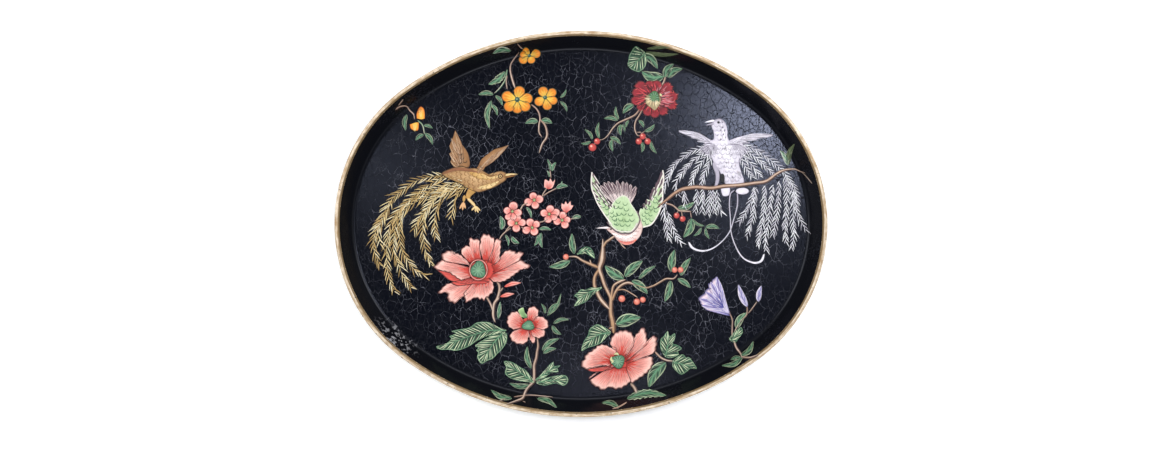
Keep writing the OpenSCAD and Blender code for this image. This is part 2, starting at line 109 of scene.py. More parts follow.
brushwork = {
    "layerStep": 0.07,  # millimetres from one layer of paint up to the next
    "sideLift": 0.12,  # held above the curved side, where flat faces would cut into it
    "strokeEnd": 0.12,  # the share of its width that a stroke keeps at its very end
    "strokeAcross": (-1, -0.55, 0, 0.55, 1),
    "leafAcross": (-1, -0.76, -0.42, -0.1, 0.1, 0.42, 0.76, 1),
    "leafNarrowing": 0.86,
    "leafHairs": 3.6,  # millimetres of leaf to each pair of brush marks
    "petalRings": (0.04, 0.22, 0.42, 0.62, 0.8, 0.92, 1.0),
    "petalCup": 0.1,
    "dabRings": (0.02, 0.35, 0.65, 0.88, 1.0),
    "fillRings": (0.02, 0.3, 0.55, 0.78, 0.93, 1.0),
}
dice = random.Random(7)  # fixed, so that every run paints the same


def liftPoint(x, y, height):  # a point of the painting, raised along the pan's inner face
    inset, outX, outY = insetAt(x, y)
    beyond = -coveMiddle[0] - inset  # past the foot of the side, going outwards
    if beyond <= 0:
        return (x * mm, y * mm, (floorTop + height) * mm)
    slope = pan["wallAngle"]
    if beyond < pan["coveRadius"] * math.sin(slope):
        tilt = math.asin(beyond / pan["coveRadius"])
        z = coveMiddle[1] - pan["coveRadius"] * math.cos(tilt)
    else:
        tilt = slope
        z = coveMiddle[1] - pan["coveRadius"] * math.cos(slope)
        z += (beyond - pan["coveRadius"] * math.sin(slope)) * math.tan(slope)
    height += brushwork["sideLift"]
    side = height * math.sin(tilt)
    return ((x - side * outX) * mm, (y - side * outY) * mm, (z + height * math.cos(tilt)) * mm)


def paint(code):  # a six-digit web colour as linear light
    values = [int(code[i : i + 2], 16) / 255 for i in (0, 2, 4)]
    return tuple(v / 12.92 if v <= 0.04045 else ((v + 0.055) / 1.055) ** 2.4 for v in values)


def blendOf(first, second, share):
    share = min(max(share, 0.0), 1.0)
    return tuple(a + (b - a) * share for a, b in zip(first, second))


def tints(**codes):  # the named colours of one look
    return {part: paint(code) for part, code in codes.items()}


def along(a, b, share):  # the point part of the way from a to b
    return a[0] + (b[0] - a[0]) * share, a[1] + (b[1] - a[1]) * share


def valueAlong(values, t):  # values set at even steps along a stroke, read anywhere between them
    place = t * (len(values) - 1)
    k = min(int(place), len(values) - 2)
    return values[k] + (values[k + 1] - values[k]) * (place - k)


def rootAt(root, t):  # a petal grows from one point, or from a line between two
    first, second = root if isinstance(root[0], tuple) else (root, root)
    return along(first, second, t)


def pointed(share):  # how far a stroke has swelled, close to one of its ends
    return brushwork["strokeEnd"] + (1 - brushwork["strokeEnd"]) * math.sqrt(share)


def smoothPath(points, spacing=1.2, closed=False):  # a Catmull-Rom curve through given points
    count = len(points)
    spans = count if closed else count - 1
    result = []
    for i in range(spans):
        if closed:
            p0, p1, p2, p3 = (points[(i + k - 1) % count] for k in range(4))
        else:
            p1, p2 = points[i], points[i + 1]
            p0 = points[i - 1] if i else (2 * p1[0] - p2[0], 2 * p1[1] - p2[1])
            p3 = points[i + 2] if i + 2 < count else (2 * p2[0] - p1[0], 2 * p2[1] - p1[1])
        steps = max(1, round(math.dist(p1, p2) / spacing))
        for step in range(steps):
            t = step / steps
            result.append(
                tuple(
                    0.5
                    * (
                        2 * b
                        + (c - a) * t
                        + (2 * a - 5 * b + 4 * c - d) * t * t
                        + (3 * b - a - 3 * c + d) * t**3
                    )
                    for a, b, c, d in zip(p0, p1, p2, p3)
                )
            )
    if not closed:
        result.append(tuple(points[-1]))
    return result


def sideways(path, i):  # unit direction along a path at one of its points, turned a quarter left
    before, after = path[max(i - 1, 0)], path[min(i + 1, len(path) - 1)]
    dx, dy = after[0] - before[0], after[1] - before[1]
    size = math.hypot(dx, dy) or 1.0
    return -dy / size, dx / size


class PaintLayer:  # gathers brush strokes, then becomes one thin raised mesh with its colours
    def __init__(self, name):
        self.name = name
        self.points, self.faces, self.colours, self.marks = [], [], [], []

    def grid(self, rows, closed=False):  # rows of (x, y, height, colour, onward, across)
        start = len(self.points)
        width = len(rows[0])
        for row in rows:
            for x, y, height, colour, onward, across in row:
                self.points.append(liftPoint(x, y, height))
                self.colours.append(colour)
                self.marks.append((onward, across))
        columns = width if closed else width - 1
        for r in range(len(rows) - 1):
            for c in range(columns):
                a, b = start + r * width + c, start + r * width + (c + 1) % width
                face = [a, b, b + width, a + width]
                self.faces.append(face if self.facesUp(face) else face[::-1])

    def facesUp(self, face):
        corners = [self.points[i] for i in face]
        area = 0.0
        for (x1, y1, _), (x2, y2, _) in zip(corners, corners[1:] + corners[:1]):
            area += x1 * y2 - x2 * y1
        return area >= 0

    def stroke(
        self, path, width, colour, end=None, level=1, edge=None, taper=(0.15, 0.3), crown=0.1, spacing=1.3,
    ):
        line = smoothPath(path, spacing)
        widths = [width] * 2 if isinstance(width, (int, float)) else list(width)
        end = end or colour
        last = len(line) - 1
        rows = []
        travelled = 0.0
        for i, (x, y) in enumerate(line):
            t = i / last
            if i:
                travelled += math.dist(line[i - 1], line[i])
            half = 0.5 * valueAlong(widths, t)
            if t < taper[0]:
                half *= pointed(t / taper[0])
            if 1 - t < taper[1]:
                half *= pointed((1 - t) / taper[1])
            nx, ny = sideways(line, i)
            middle = blendOf(colour, end, t)
            rim = edge or blendOf(middle, (0.0, 0.0, 0.0), 0.25)
            row = []
            for across in brushwork["strokeAcross"]:
                shade = rim if abs(across) == 1 else middle
                height = level * brushwork["layerStep"] + crown * (1 - across * across)
                row.append((
                    x + nx * half * across, y + ny * half * across, height, shade, travelled, half * across,
                ))
            rows.append(row)
        self.grid(rows)

    def leaf(self, base, tip, width, look, bend=0.0, teeth=0, level=1, swell=0.42):
        length = math.dist(base, tip)
        dx, dy = (tip[0] - base[0]) / length, (tip[1] - base[1]) / length
        middle = (
            (base[0] + tip[0]) / 2 - dy * bend * length,
            (base[1] + tip[1]) / 2 + dx * bend * length,
        )
        width *= brushwork["leafNarrowing"]
        rib = smoothPath([base, middle, tip], 1.1)
        last = len(rib) - 1
        power = math.log(0.5) / math.log(swell)
        rows = []
        for i, (x, y) in enumerate(rib):
            t = i / last
            half = 0.5 * width * math.sin(math.pi * t**power) ** 0.8 if 0 < t < 1 else 0.0
            bite = 1.0
            if teeth:
                bite = 1 - 0.36 * ((t * teeth) % 1.0)
            nx, ny = sideways(rib, i)
            row = []
            for across in brushwork["leafAcross"]:
                reach = half * across * (bite if abs(across) > 0.6 else min(1, bite + 0.2)) + 0.12 * across
                if abs(across) == 1:
                    shade = look["edge"]
                elif abs(across) < 0.2:
                    shade = look["vein"]
                else:
                    shade = look["dark"] if across < 0 else look["light"]
                    shade = blendOf(shade, look["dark"], 0.55 * (1 - t) if across > 0 else 0.2 * t)
                height = level * brushwork["layerStep"] + 0.12 * (
                    1 - abs(abs(across) - 0.45)
                ) * min(1, half)
                row.append((
                    x + nx * reach, y + ny * reach, height, shade, i * 0.9 + reach * 0.8, reach * 1.1,
                ))
            rows.append(row)
        self.grid(rows)
        count = max(2, round(length / brushwork["leafHairs"]))
        for step in range(count):  # brush marks that leave the middle and run on to the edge
            for side in (-1, 1):
                first = max(0.03, 0.05 + 0.72 * (step + 0.25 * side) / count)
                second = min(0.96, first + 0.3)
                path = []
                for share, out in ((first, 0.06), ((first + second) / 2, 0.5), (second, 0.84)):
                    i = min(last, max(0, round(share * last)))
                    nx, ny = sideways(rib, i)
                    half = 0.5 * width * max(0.0, math.sin(math.pi * share**power)) ** 0.8
                    path.append((rib[i][0] + nx * half * out * side, rib[i][1] + ny * half * out * side))
                tone = (look["edge"], look["dark"], look["vein"])[(step * 2 + (side > 0)) % 3]
                self.stroke(
                    path, 0.3 + width * 0.03, look["dark"] if tone is look["dark"] else look["light"], tone,
                    level=level + 2, crown=0.02, taper=(0.3, 0.6), spacing=2.0,
                )

    def petal(self, root, outline, look, level=1, spacing=1.3):
        edge = smoothPath(outline, spacing)
        rows = []
        for share in brushwork["petalRings"]:
            row = []
            travelled = 0.0
            for i, (x, y) in enumerate(edge):
                t = i / (len(edge) - 1)
                if i:
                    travelled += math.dist(edge[i - 1], edge[i])
                fromX, fromY = rootAt(root, t)
                reach = math.hypot(x - fromX, y - fromY)
                tone = share ** look.get("spread", 1.0)
                shade = blendOf(look["base"], look["tip"], tone)
                if "middle" in look:
                    first = blendOf(look["base"], look["middle"], min(1, tone * 2))
                    shade = blendOf(first, look["tip"], tone * 2 - 1)
                flicker = 0.5 + 0.5 * math.sin(travelled * 1.9 + level)
                shade = blendOf(shade, look["base"], 0.28 * flicker * (1 - share))
                if share == 1.0:
                    shade = look["edge"]
                height = level * brushwork["layerStep"] + brushwork["petalCup"] * math.sin(
                    math.pi * min(share, 0.95)
                ) * min(1, reach / 8)
                row.append((
                    fromX + (x - fromX) * share, fromY + (y - fromY) * share, height, shade, reach * share,
                    travelled,
                ))
            rows.append(row)
        self.grid(rows)

    def dab(self, centre, radius, look, level=1, root=None, aspect=1.0, turn=0.0, wobble=0.0, sides=18):
        cosTurn, sinTurn = math.cos(turn), math.sin(turn)
        rows = []
        for share in brushwork["dabRings"]:
            row = []
            for s in range(sides):
                angle = 2 * math.pi * s / sides
                size = radius * share * (1 + wobble * math.sin(3 * angle + centre[0]))
                px, py = size * math.cos(angle), size * aspect * math.sin(angle)
                x, y = centre[0] + px * cosTurn - py * sinTurn, centre[1] + px * sinTurn + py * cosTurn
                tone = share
                if root:
                    tone = min(1, math.dist((x, y), root) / (math.dist(centre, root) + radius))
                shade = blendOf(look["base"], look["tip"], tone)
                if share == 1.0 and "edge" in look:
                    shade = look["edge"]
                height = level * brushwork["layerStep"] + 0.1 * (1 - share * share) * min(1, radius / 4)
                row.append((x, y, height, shade, px, py))
            rows.append(row)
        self.grid(rows, closed=True)

    def outline(self, points, width, colour, level=4, closed=False):
        path = list(points) + ([points[0]] if closed else [])
        self.stroke(path, width, colour, level=level, taper=(0, 0), crown=0.04)

    def fill(  # a closed shape, shaded from a focus out to its edge
        self, points, look, level=1, towards=None,
    ):
        edge = smoothPath(points, 1.3, closed=True)
        focus = towards or (
            sum(p[0] for p in points) / len(points),
            sum(p[1] for p in points) / len(points),
        )
        rows = []
        for share in brushwork["fillRings"]:
            row = []
            for i, (x, y) in enumerate(edge):
                shade = blendOf(look["base"], look["tip"], share)
                if share == 1.0 and "edge" in look:
                    shade = look["edge"]
                height = level * brushwork["layerStep"] + 0.06 * (1 - share * share)
                row.append((
                    focus[0] + (x - focus[0]) * share, focus[1] + (y - focus[1]) * share, height, shade,
                    share * 9, i * 1.2,
                ))
            rows.append(row)
        self.grid(rows, closed=True)

    def finish(self, slot, node):
        mesh = bpy.data.meshes.new(self.name)
        mesh.from_pydata(self.points, [], self.faces)
        colours = mesh.color_attributes.new("paint", "FLOAT_COLOR", "POINT")
        colours.data.foreach_set("color", [v for colour in self.colours for v in (*colour, 1.0)])
        marks = mesh.uv_layers.new(name="brush")
        marks.data.foreach_set("uv", [v for loop in mesh.loops for v in self.marks[loop.vertex_index]])
        piece = bpy.data.objects.new(self.name, mesh)
        bpy.context.collection.objects.link(piece)
        bpy.ops.object.select_all(action="DESELECT")
        piece.select_set(True)
        bpy.context.view_layer.objects.active = piece
        body = piece.modifiers.new("paintBody", "SOLIDIFY")
        body.thickness = brushwork["layerStep"] * mm
        body.offset = -1
        body.use_rim = True
        bpy.ops.object.modifier_apply(modifier=body.name)
        bpy.ops.object.shade_smooth()
        mesh.materials.append(oils[slot])
        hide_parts(node)
        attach(piece, "root")
        print(self.name, len(mesh.polygons), "faces")


def inside(x, y, outline):  # is a point inside a closed outline
    hit = False
    for (x1, y1), (x2, y2) in zip(outline, outline[1:] + outline[:1]):
        if (y1 > y) != (y2 > y) and x < x1 + (y - y1) * (x2 - x1) / (y2 - y1):
            hit = not hit
    return hit


def plume(layer, path, reach, look, level=1, gap=4.3, lean=0.6, wide=0.48):
    spine = smoothPath(path, gap)
    last = len(spine) - 1
    for i, (x, y) in enumerate(spine):
        size = valueAlong(reach, i / last)
        nx, ny = sideways(spine, i)
        dx, dy = ny, -nx  # onwards along the plume
        for side in (-1, 1):
            long = size * dice.uniform(0.75, 1.2)
            turn = lean * dice.uniform(0.7, 1.25)
            tone = dice.choice(look["barbs"])
            begin = gap * (0.25 * side + dice.uniform(-0.15, 0.15))
            rows = []
            for share, fat in ((0.0, 0.6), (0.3, 1.0), (0.7, 0.75), (1.0, 0.12)):
                half = wide * fat
                bend = turn * (1 - 0.2 * share)
                stepX = dx * math.cos(bend) + side * nx * math.sin(bend)
                stepY = dy * math.cos(bend) + side * ny * math.sin(bend)
                px, py = x + dx * begin + stepX * long * share, y + dy * begin + stepY * long * share
                shade = blendOf(tone, look["root"], 0.3 * (1 - share))
                rows.append([
                    (
                        px - stepY * half * c, py + stepX * half * c,
                        level * brushwork["layerStep"] + 0.05 * (1 - abs(c)), shade, long * share, c,
                    )
                    for c in (-1, 0, 1)
                ])
            layer.grid(rows)
    layer.stroke(path, 0.4, look["root"], look["barbs"][0], level=level, crown=0.03, taper=(0.02, 0.1))


def scales(  # rows of small curved feather marks
    layer, outline, size, heading, colour, level=4, width=0.55,
):
    xs, ys = [p[0] for p in outline], [p[1] for p in outline]
    middleX, middleY = (min(xs) + max(xs)) / 2, (min(ys) + max(ys)) / 2
    span = math.hypot(max(xs) - min(xs), max(ys) - min(ys)) / 2
    count = int(span / size) + 1
    ux, uy = math.cos(heading), math.sin(heading)
    for row in range(-count, count + 1):
        for column in range(-count, count + 1):
            onward, across = row * size, (column + 0.5 * (row % 2)) * size * 1.1
            x = middleX + ux * onward - uy * across + dice.uniform(-0.2, 0.2) * size
            y = middleY + uy * onward + ux * across + dice.uniform(-0.2, 0.2) * size
            tips = [
                (x + size * 0.5 * (ux * s - uy * c), y + size * 0.5 * (uy * s + ux * c))
                for s, c in ((-0.55, 0.86), (0.25, 0.66), (0.55, 0.0), (0.25, -0.66), (-0.55, -0.86))
            ]
            if all(inside(px, py, outline) for px, py in tips):
                layer.stroke(tips, width, colour, level=level, crown=0.02, taper=(0.3, 0.3), spacing=0.8)


def veins(layer, root, outline, look, level, width=0.42):  # fine streaks across one petal
    edge = smoothPath(outline, 2.2)
    for i, tip in enumerate(edge[1:-1]):
        base = rootAt(root, (i + 1) / (len(edge) - 1))
        a = along(base, tip, dice.uniform(0.12, 0.4))
        b = along(base, tip, dice.uniform(0.7, 0.95))
        first, last = (look["base"], look["tip"]) if i % 2 else (look["streak"], look["base"])
        layer.stroke([a, b], width, first, last, level=level, crown=0.02, taper=(0.4, 0.5), spacing=2.6)


def frilled(outline, size, start=0):  # small scallops along a petal's edge
    if not size:
        return outline
    edge = smoothPath(outline, 1.3)
    last = len(edge) - 1
    bumps = []
    for i, (x, y) in enumerate(edge):
        nx, ny = sideways(edge, i)
        push = size * (abs(math.sin(i * 0.75 + start)) - 0.5) * math.sqrt(
            max(0.0, math.sin(math.pi * i / last))
        )
        bumps.append((x + nx * push, y + ny * push))
    return bumps


def flower(layer, petals, look, level):  # petals as (root, outline) pairs, painted in order
    for number, (root, outline) in enumerate(petals):
        height = level + number % 3 * 2
        outline = frilled(outline, look.get("frill", 0.0), number)
        layer.petal(root, outline, look, height)
        veins(layer, root, outline, look, height + 2)
        layer.outline([root[0], *smoothPath(outline, 1.5), root[1]], 0.55, look["edge"], height + 3)


def blade(layer, outline, rib, look, level=1):  # a broad leaf with a ragged edge and fanned brush marks
    line = smoothPath(rib, 1.5)
    layer.fill(outline, {
        "base": look["dark"], "tip": look["light"], "edge": look["edge"],
    }, level, towards=line[len(line) // 2])
    edge = smoothPath(outline, 1.4, closed=True)
    for number, (x, y) in enumerate(edge):
        near = min(range(len(line)), key=lambda k: math.dist(line[k], (x, y)))
        back = line[max(0, near - 6)]
        middle = along(back, (x, y), 0.55)
        tip = along(back, (x, y), 1.06 if number % 3 == 1 else 0.93)
        tone = (look["dark"], look["vein"], look["light"], look["dark"], look["edge"])[number % 5]
        layer.stroke(
            [back, middle, tip], 0.85, tone, look["edge"] if number % 5 in (1, 4) else tone,
            level=level + 2 + number % 2, crown=0.03, taper=(0.5, 0.45), spacing=2.2,
        )
    layer.outline(outline, 0.4, look["vein"], level + 2, closed=True)
    layer.stroke(rib, (1.1, 0.5), look["vein"], level=level + 5, crown=0.04, taper=(0, 0.2))


class Flow:  # wraps one socket, so that shader maths reads as plain expressions
    def __init__(self, tree, socket):
        self.tree, self.socket = tree, socket

    def node(self, kind, settings=None, sockets=None, out=0):
        made = self.tree.nodes.new(kind)
        for name, value in (settings or {}).items():
            if name == "stops":
                ramp = made.color_ramp
                while len(ramp.elements) < len(value):
                    ramp.elements.new(0.5)
                for element, (place, tone) in zip(ramp.elements, value):
                    element.position = place
                    element.color = (*tone, 1.0) if isinstance(tone, tuple) else (tone, tone, tone, 1.0)
            else:
                setattr(made, name, value)
        for name, value in (sockets or {}).items():
            if isinstance(value, Flow):
                self.tree.links.new(value.socket, made.inputs[name])
            elif isinstance(value, tuple) and made.inputs[name].type == "RGBA":
                made.inputs[name].default_value = (*value, 1.0)
            else:
                made.inputs[name].default_value = value
        return Flow(self.tree, made.outputs[out])

    def maths(self, operation, first, second=0.0):
        return self.node("ShaderNodeMath", {"operation": operation}, {0: first, 1: second})

    def __add__(self, other):
        return self.maths("ADD", self, other)

    def __radd__(self, other):
        return self.maths("ADD", other, self)

    def __sub__(self, other):
        return self.maths("SUBTRACT", self, other)

    def __rsub__(self, other):
        return self.maths("SUBTRACT", other, self)

    def __mul__(self, other):
        return self.maths("MULTIPLY", self, other)

    def __rmul__(self, other):
        return self.maths("MULTIPLY", other, self)

    def clamped(self):
        return self.node("ShaderNodeClamp", {}, {"Value": self})

    def between(self, start, end):  # 0 below start, 1 above end, smooth in between
        return self.node(
            "ShaderNodeMapRange",
            {"interpolation_type": "SMOOTHSTEP"},
            {"Value": self, "From Min": start, "From Max": end, "To Min": 0.0, "To Max": 1.0},
        )

    def noise(self, vector, scale, detail=3.0, roughness=0.5):
        return self.node(
            "ShaderNodeTexNoise",
            {"noise_dimensions": "3D"},
            {"Vector": vector, "Scale": scale, "Detail": detail, "Roughness": roughness},
        )

    def stretched(self, vector, scale, place=(0.0, 0.0, 0.0)):
        return self.node("ShaderNodeMapping", {}, {"Vector": vector, "Scale": scale, "Location": place})

    def tint(self, share, first, second, mode="MIX"):
        made = self.tree.nodes.new("ShaderNodeMix")
        made.data_type = "RGBA"
        made.blend_type = mode
        for index, value in ((0, share), (6, first), (7, second)):
            if isinstance(value, Flow):
                self.tree.links.new(value.socket, made.inputs[index])
            elif index:
                made.inputs[index].default_value = (*value, 1.0)
            else:
                made.inputs[index].default_value = value
        return Flow(self.tree, made.outputs[2])

    def bump(self, height, strength, distance):
        return self.node(
            "ShaderNodeBump", {}, {"Height": height, "Strength": strength, "Distance": distance}
        )


def newMaterial(name, fixed):
    material = bpy.data.materials.new(name)
    material.use_nodes = True
    tree = material.node_tree
    shader = tree.nodes["Principled BSDF"]
    for socket, value in fixed.items():
        shader.inputs[socket].default_value = value
    start = Flow(tree, None)
    place = start.node("ShaderNodeTexCoord", out=3)
    material.diffuse_color = (
        *fixed["Base Color"][:3], 1.0,
    ) if "Base Color" in fixed else (0.5, 0.5, 0.5, 1.0)

    def connect(**links):
        for socket, value in links.items():
            tree.links.new(value.socket, shader.inputs[socket.replace("_", " ")])

    return material, start, place, connect


lacquerLook = {
    "black": paint("07080d"),
    "dust": paint("2b2d36"),
    # pale bluish-white: worn lacquer and a painted highlight in one patch
    "wearAndHighlightTone": paint("b9b9bd"),
    "wearAndHighlightAt": (-0.187, -0.117, 0.012),
    "wearAndHighlightReach": (0.004, 0.034),
    "roughness": 0.2,
}


def lacquerMaterial():  # smooth black lacquer of the side and the underside, with a worn patch low on the left that also carries a painted highlight
    look = lacquerLook
    material, start, place, connect = newMaterial("blackLacquer", {
        "Specular IOR Level": 0.2, "IOR": 1.45, "Specular Tint": (0.85, 0.88, 1.0, 1.0),
    })
    cloud = start.noise(place, 14.0, 4.0)
    speck = start.noise(place, 420.0, 2.0)
    streak = start.noise(start.stretched(place, (30.0, 30.0, 260.0)), 3.0, 3.0)
    dusty = cloud.between(0.5, 0.75) * speck.between(0.5, 0.68)
    colour = start.tint(dusty * 0.35, look["black"], look["dust"])
    # a pale bluish patch low on the left side: partly worn lacquer, partly a painted highlight standing for
    # a bright window's reflection in the side
    wearAndHighlightFrom = start.node(
        "ShaderNodeVectorMath", {"operation": "DISTANCE"}, {0: place, 1: look["wearAndHighlightAt"]}, out=1
    )
    patch = (
        1 - wearAndHighlightFrom.between(*look["wearAndHighlightReach"])
    ) * start.noise(place, 260.0, 4.0).between(0.54, 0.62)
    colour = start.tint(patch * 0.5, colour, look["wearAndHighlightTone"])
    connect(
        Base_Color=colour,
        Roughness=look["roughness"] + dusty * 0.25 + patch * 0.4 + streak * 0.08,
        Normal=start.bump(cloud * 0.6 + speck * 0.05, 0.12, 0.0008),
    )
    return material


crackle = {
    "cellSize": 0.0088,  # metres between the main cracks
    "mainWidth": 0.00026,
    "fineWidth": 0.0002,
    "wander": 0.008,
    "stretch": (1.15, 0.85, 1.0),
    "ground": paint("04060e"),
    "groundWarm": paint("08090f"),
    "crack": paint("7f808a"),
    "crackDim": paint("34363f"),
    "roughness": 0.17,
}


def crackleMaterial():  # black lacquer of the well, broken by fine pale cracks
    look = crackle
    material, start, place, connect = newMaterial("crackleLacquer", {
        "Specular IOR Level": 0.25, "IOR": 1.45, "Specular Tint": (0.8, 0.84, 1.0, 1.0),
    })
    bends = start.node("ShaderNodeTexNoise", {}, {
        "Vector": place, "Scale": 110.0, "Detail": 4.0, "Roughness": 0.65,
    }, out=1)
    moved = start.node("ShaderNodeVectorMath", {"operation": "MULTIPLY_ADD"}, {
        0: bends, 1: (look["wander"], look["wander"], 0.0), 2: start.stretched(place, look["stretch"]),
    })

    def cracks(cell, width):
        edge = start.node(
            "ShaderNodeTexVoronoi",
            {"feature": "DISTANCE_TO_EDGE", "voronoi_dimensions": "2D"},
            {"Vector": moved, "Scale": 1 / cell, "Randomness": 1.0},
        )
        return 1 - (edge * cell).between(0.0, width)

    main = cracks(look["cellSize"], look["mainWidth"])
    fine = cracks(look["cellSize"] * 0.5, look["fineWidth"])
    gaps = start.noise(place, 170.0, 2.0).between(0.36, 0.56)
    fineGaps = start.noise(place, 80.0, 3.0).between(0.5, 0.62)
    regions = start.noise(place, 9.0, 3.0)
    reach = start.node(
        "ShaderNodeVectorMath", {"operation": "LENGTH"}, {0: start.stretched(place, (4.42, 5.78, 0.0))},
        out=1,
    )
    lines = (main * (0.08 + gaps * 0.8)) + fine * fineGaps * 0.6
    strength = (
        lines * (0.45 + regions.between(0.38, 0.6) * 0.55) * (1 - reach.between(0.78, 1.0) * 0.7)
    ).clamped()
    ground = start.tint(start.noise(place, 22.0, 4.0), look["ground"], look["groundWarm"])
    crackTone = start.tint(start.noise(place, 45.0, 2.0).between(0.4, 0.6), look["crackDim"], look["crack"])
    connect(
        Base_Color=start.tint(strength, ground, crackTone),
        Roughness=look["roughness"] + strength * 0.3 + regions * 0.05,
        Normal=start.bump((main + fine * 0.7) * -1.0 + start.noise(place, 300.0, 2.0) * 0.06, 0.7, 0.0003),
    )
    return material


gilding = {
    "pale": paint("dfd0ba"),
    "deep": paint("9c7f59"),
    "worn": paint("3a2f22"),
    # darker brown over the roll's inner flank, outer flank and underside; only a band along the top stays
    # pale
    "edgeLine": paint("6f5a3a"),
    "edgeLineAt": 0.0042,  # metres round from the inner edge to the middle of the pale top
    "edgeLineWidth": (0.0016, 0.0024),
    "roughness": 0.42,
}


def gildingMaterial():  # bronze paint dragged round the rim by the brush, flecked and worn
    look = gilding
    material, start, place, connect = newMaterial("rimGilding", {"Metallic": 0.35, "IOR": 1.5})
    round_ = start.node("ShaderNodeUVMap", {"uv_map": "round"})
    drag = start.noise(start.stretched(round_, (38.0, 900.0, 1.0)), 1.0, 4.0, 0.6)
    dabs = start.noise(start.stretched(round_, (140.0, 260.0, 1.0)), 1.0, 3.0)
    fleck = start.noise(place, 420.0, 2.0).between(0.62, 0.68)
    across = start.node("ShaderNodeSeparateXYZ", {}, {"Vector": round_}, out=1)
    offPaleTop = across - look["edgeLineAt"]
    middle = 1 - offPaleTop.maths("ABSOLUTE", offPaleTop).between(*look["edgeLineWidth"])
    tone = start.tint((drag * 0.85 + dabs * 0.5 - 0.17).between(0.36, 0.66), look["deep"], look["pale"])
    # away from the pale band on top, the roll turns darker brown on both flanks and underneath
    tone = start.tint(middle * -1.0 + 1.0, tone, look["edgeLine"])
    worn = fleck * dabs.between(0.48, 0.6)
    connect(
        Base_Color=start.tint(worn, tone, look["worn"]),
        Roughness=look["roughness"] + drag * 0.2,
        Normal=start.bump(drag + dabs * 0.4, 0.35, 0.0003),
    )
    return material


def steelMaterial():
    material, start, place, connect = newMaterial("drawnSteel", {"Metallic": 1.0})
    drawn = start.noise(place, 700.0, 2.0)
    connect(
        Base_Color=start.tint(drawn, paint("8b8b8e"), paint("b6b6b8")),
        Roughness=0.28 + drawn * 0.15,
        Normal=start.bump(drawn, 0.1, 0.0001),
    )
    return material


def oilMaterial(name, roughness=0.42, streaks=0.3, metallic=0.0):  # oil paint that keeps the brush's marks
    material, start, place, connect = newMaterial(name, {"Metallic": metallic, "IOR": 1.48})
    colour = start.node("ShaderNodeAttribute", {"attribute_name": "paint"})
    marks = start.node("ShaderNodeUVMap", {"uv_map": "brush"})
    hairs = start.noise(start.stretched(marks, (0.16, 2.6, 1.0)), 1.0, 3.0, 0.6)
    body = start.noise(place, 260.0, 3.0)
    light = (0.5 + (hairs * 0.65 + body * 0.35)).between(0.78, 1.22)
    shaded = start.tint(
        1.0, colour, start.tint(light, (1 - streaks,) * 3, (1 + streaks * 0.4,) * 3), "MULTIPLY",
    )
    gaps = start.noise(place, 90.0, 3.0).between(0.68, 0.74) * 0.45
    connect(
        Base_Color=start.tint(gaps, shaded, paint("2a2a2c")),
        Roughness=roughness + hairs * 0.2,
        Normal=start.bump(hairs + body * 0.3, 0.3, 0.0002),
    )
    return material


print("materials")
blackLacquer = lacquerMaterial()
crackleLacquer = crackleMaterial()
rimGold = gildingMaterial()
drawnSteel = steelMaterial()
oils = {
    "gold_paint": oilMaterial("goldOil", 0.38, 0.35, 0.25),
    "silver_paint": oilMaterial("silverOil", 0.4, 0.3, 0.1),
    "bird_green_paint": oilMaterial("birdGreenOil"),
    "leaf_paint": oilMaterial("leafOil"),
    "twig_paint": oilMaterial("twigOil"),
    "yellow_paint": oilMaterial("yellowOil"),
    "crimson_paint": oilMaterial("crimsonOil"),
    "pink_paint": oilMaterial("pinkOil"),
    "coral_paint": oilMaterial("coralOil"),
    "heart_paint": oilMaterial("heartOil"),
    "lilac_paint": oilMaterial("lilacOil"),
}


# the pan, its wire, its gilding and the crackled floor


def arcPoints(middle, radius, start, end, steps):
    return [
        (
            middle[0] + radius * math.cos(start + (end - start) * i / steps),
            middle[1] + radius * math.sin(start + (end - start) * i / steps),
        )
        for i in range(steps + 1)
    ]


def sweepSection(  # a loop on the oval, extruded from one section point to the next
    name, section, closed=False,
):
    bpy.ops.object.select_all(action="DESELECT")
    places = stations()
    bpy.ops.mesh.primitive_circle_add(vertices=len(places), radius=halfLength * mm)
    piece = bpy.context.object
    piece.name = name
    bpy.ops.object.mode_set(mode="EDIT")

    def moveLoop(point):
        mesh = bmesh.from_edit_mesh(piece.data)
        order = mesh.verts.layers.int["station"]
        for vert in (v for v in mesh.verts if v.select):
            x, y, outX, outY = places[vert[order]]
            vert.co = ((x + point[0] * outX) * mm, (y + point[0] * outY) * mm, point[1] * mm)
        bmesh.update_edit_mesh(piece.data)

    mesh = bmesh.from_edit_mesh(piece.data)
    order = mesh.verts.layers.int.new("station")
    for vert in mesh.verts:
        vert[order] = vert.index
    moveLoop(section[0])
    for point in section[1:] + (section[:1] if closed else []):
        bpy.ops.mesh.extrude_edges_move()
        moveLoop(point)
    if closed:
        bpy.ops.mesh.select_all(action="SELECT")
        bpy.ops.mesh.remove_doubles(threshold=1e-6)
    return piece


def closeFlat(piece, heights):  # a flat face across each open end of a dish, at these heights
    for height in heights:
        bpy.ops.mesh.select_all(action="DESELECT")
        mesh = bmesh.from_edit_mesh(piece.data)
        for edge in mesh.edges:
            if edge.is_boundary and all(abs(v.co.z - height * mm) < 1e-6 for v in edge.verts):
                edge.select = True
        mesh.select_flush_mode()
        bmesh.update_edit_mesh(piece.data)
        bpy.ops.mesh.edge_face_add()
        bpy.ops.mesh.inset(thickness=0.004)  # a flat border inside the rounded edge


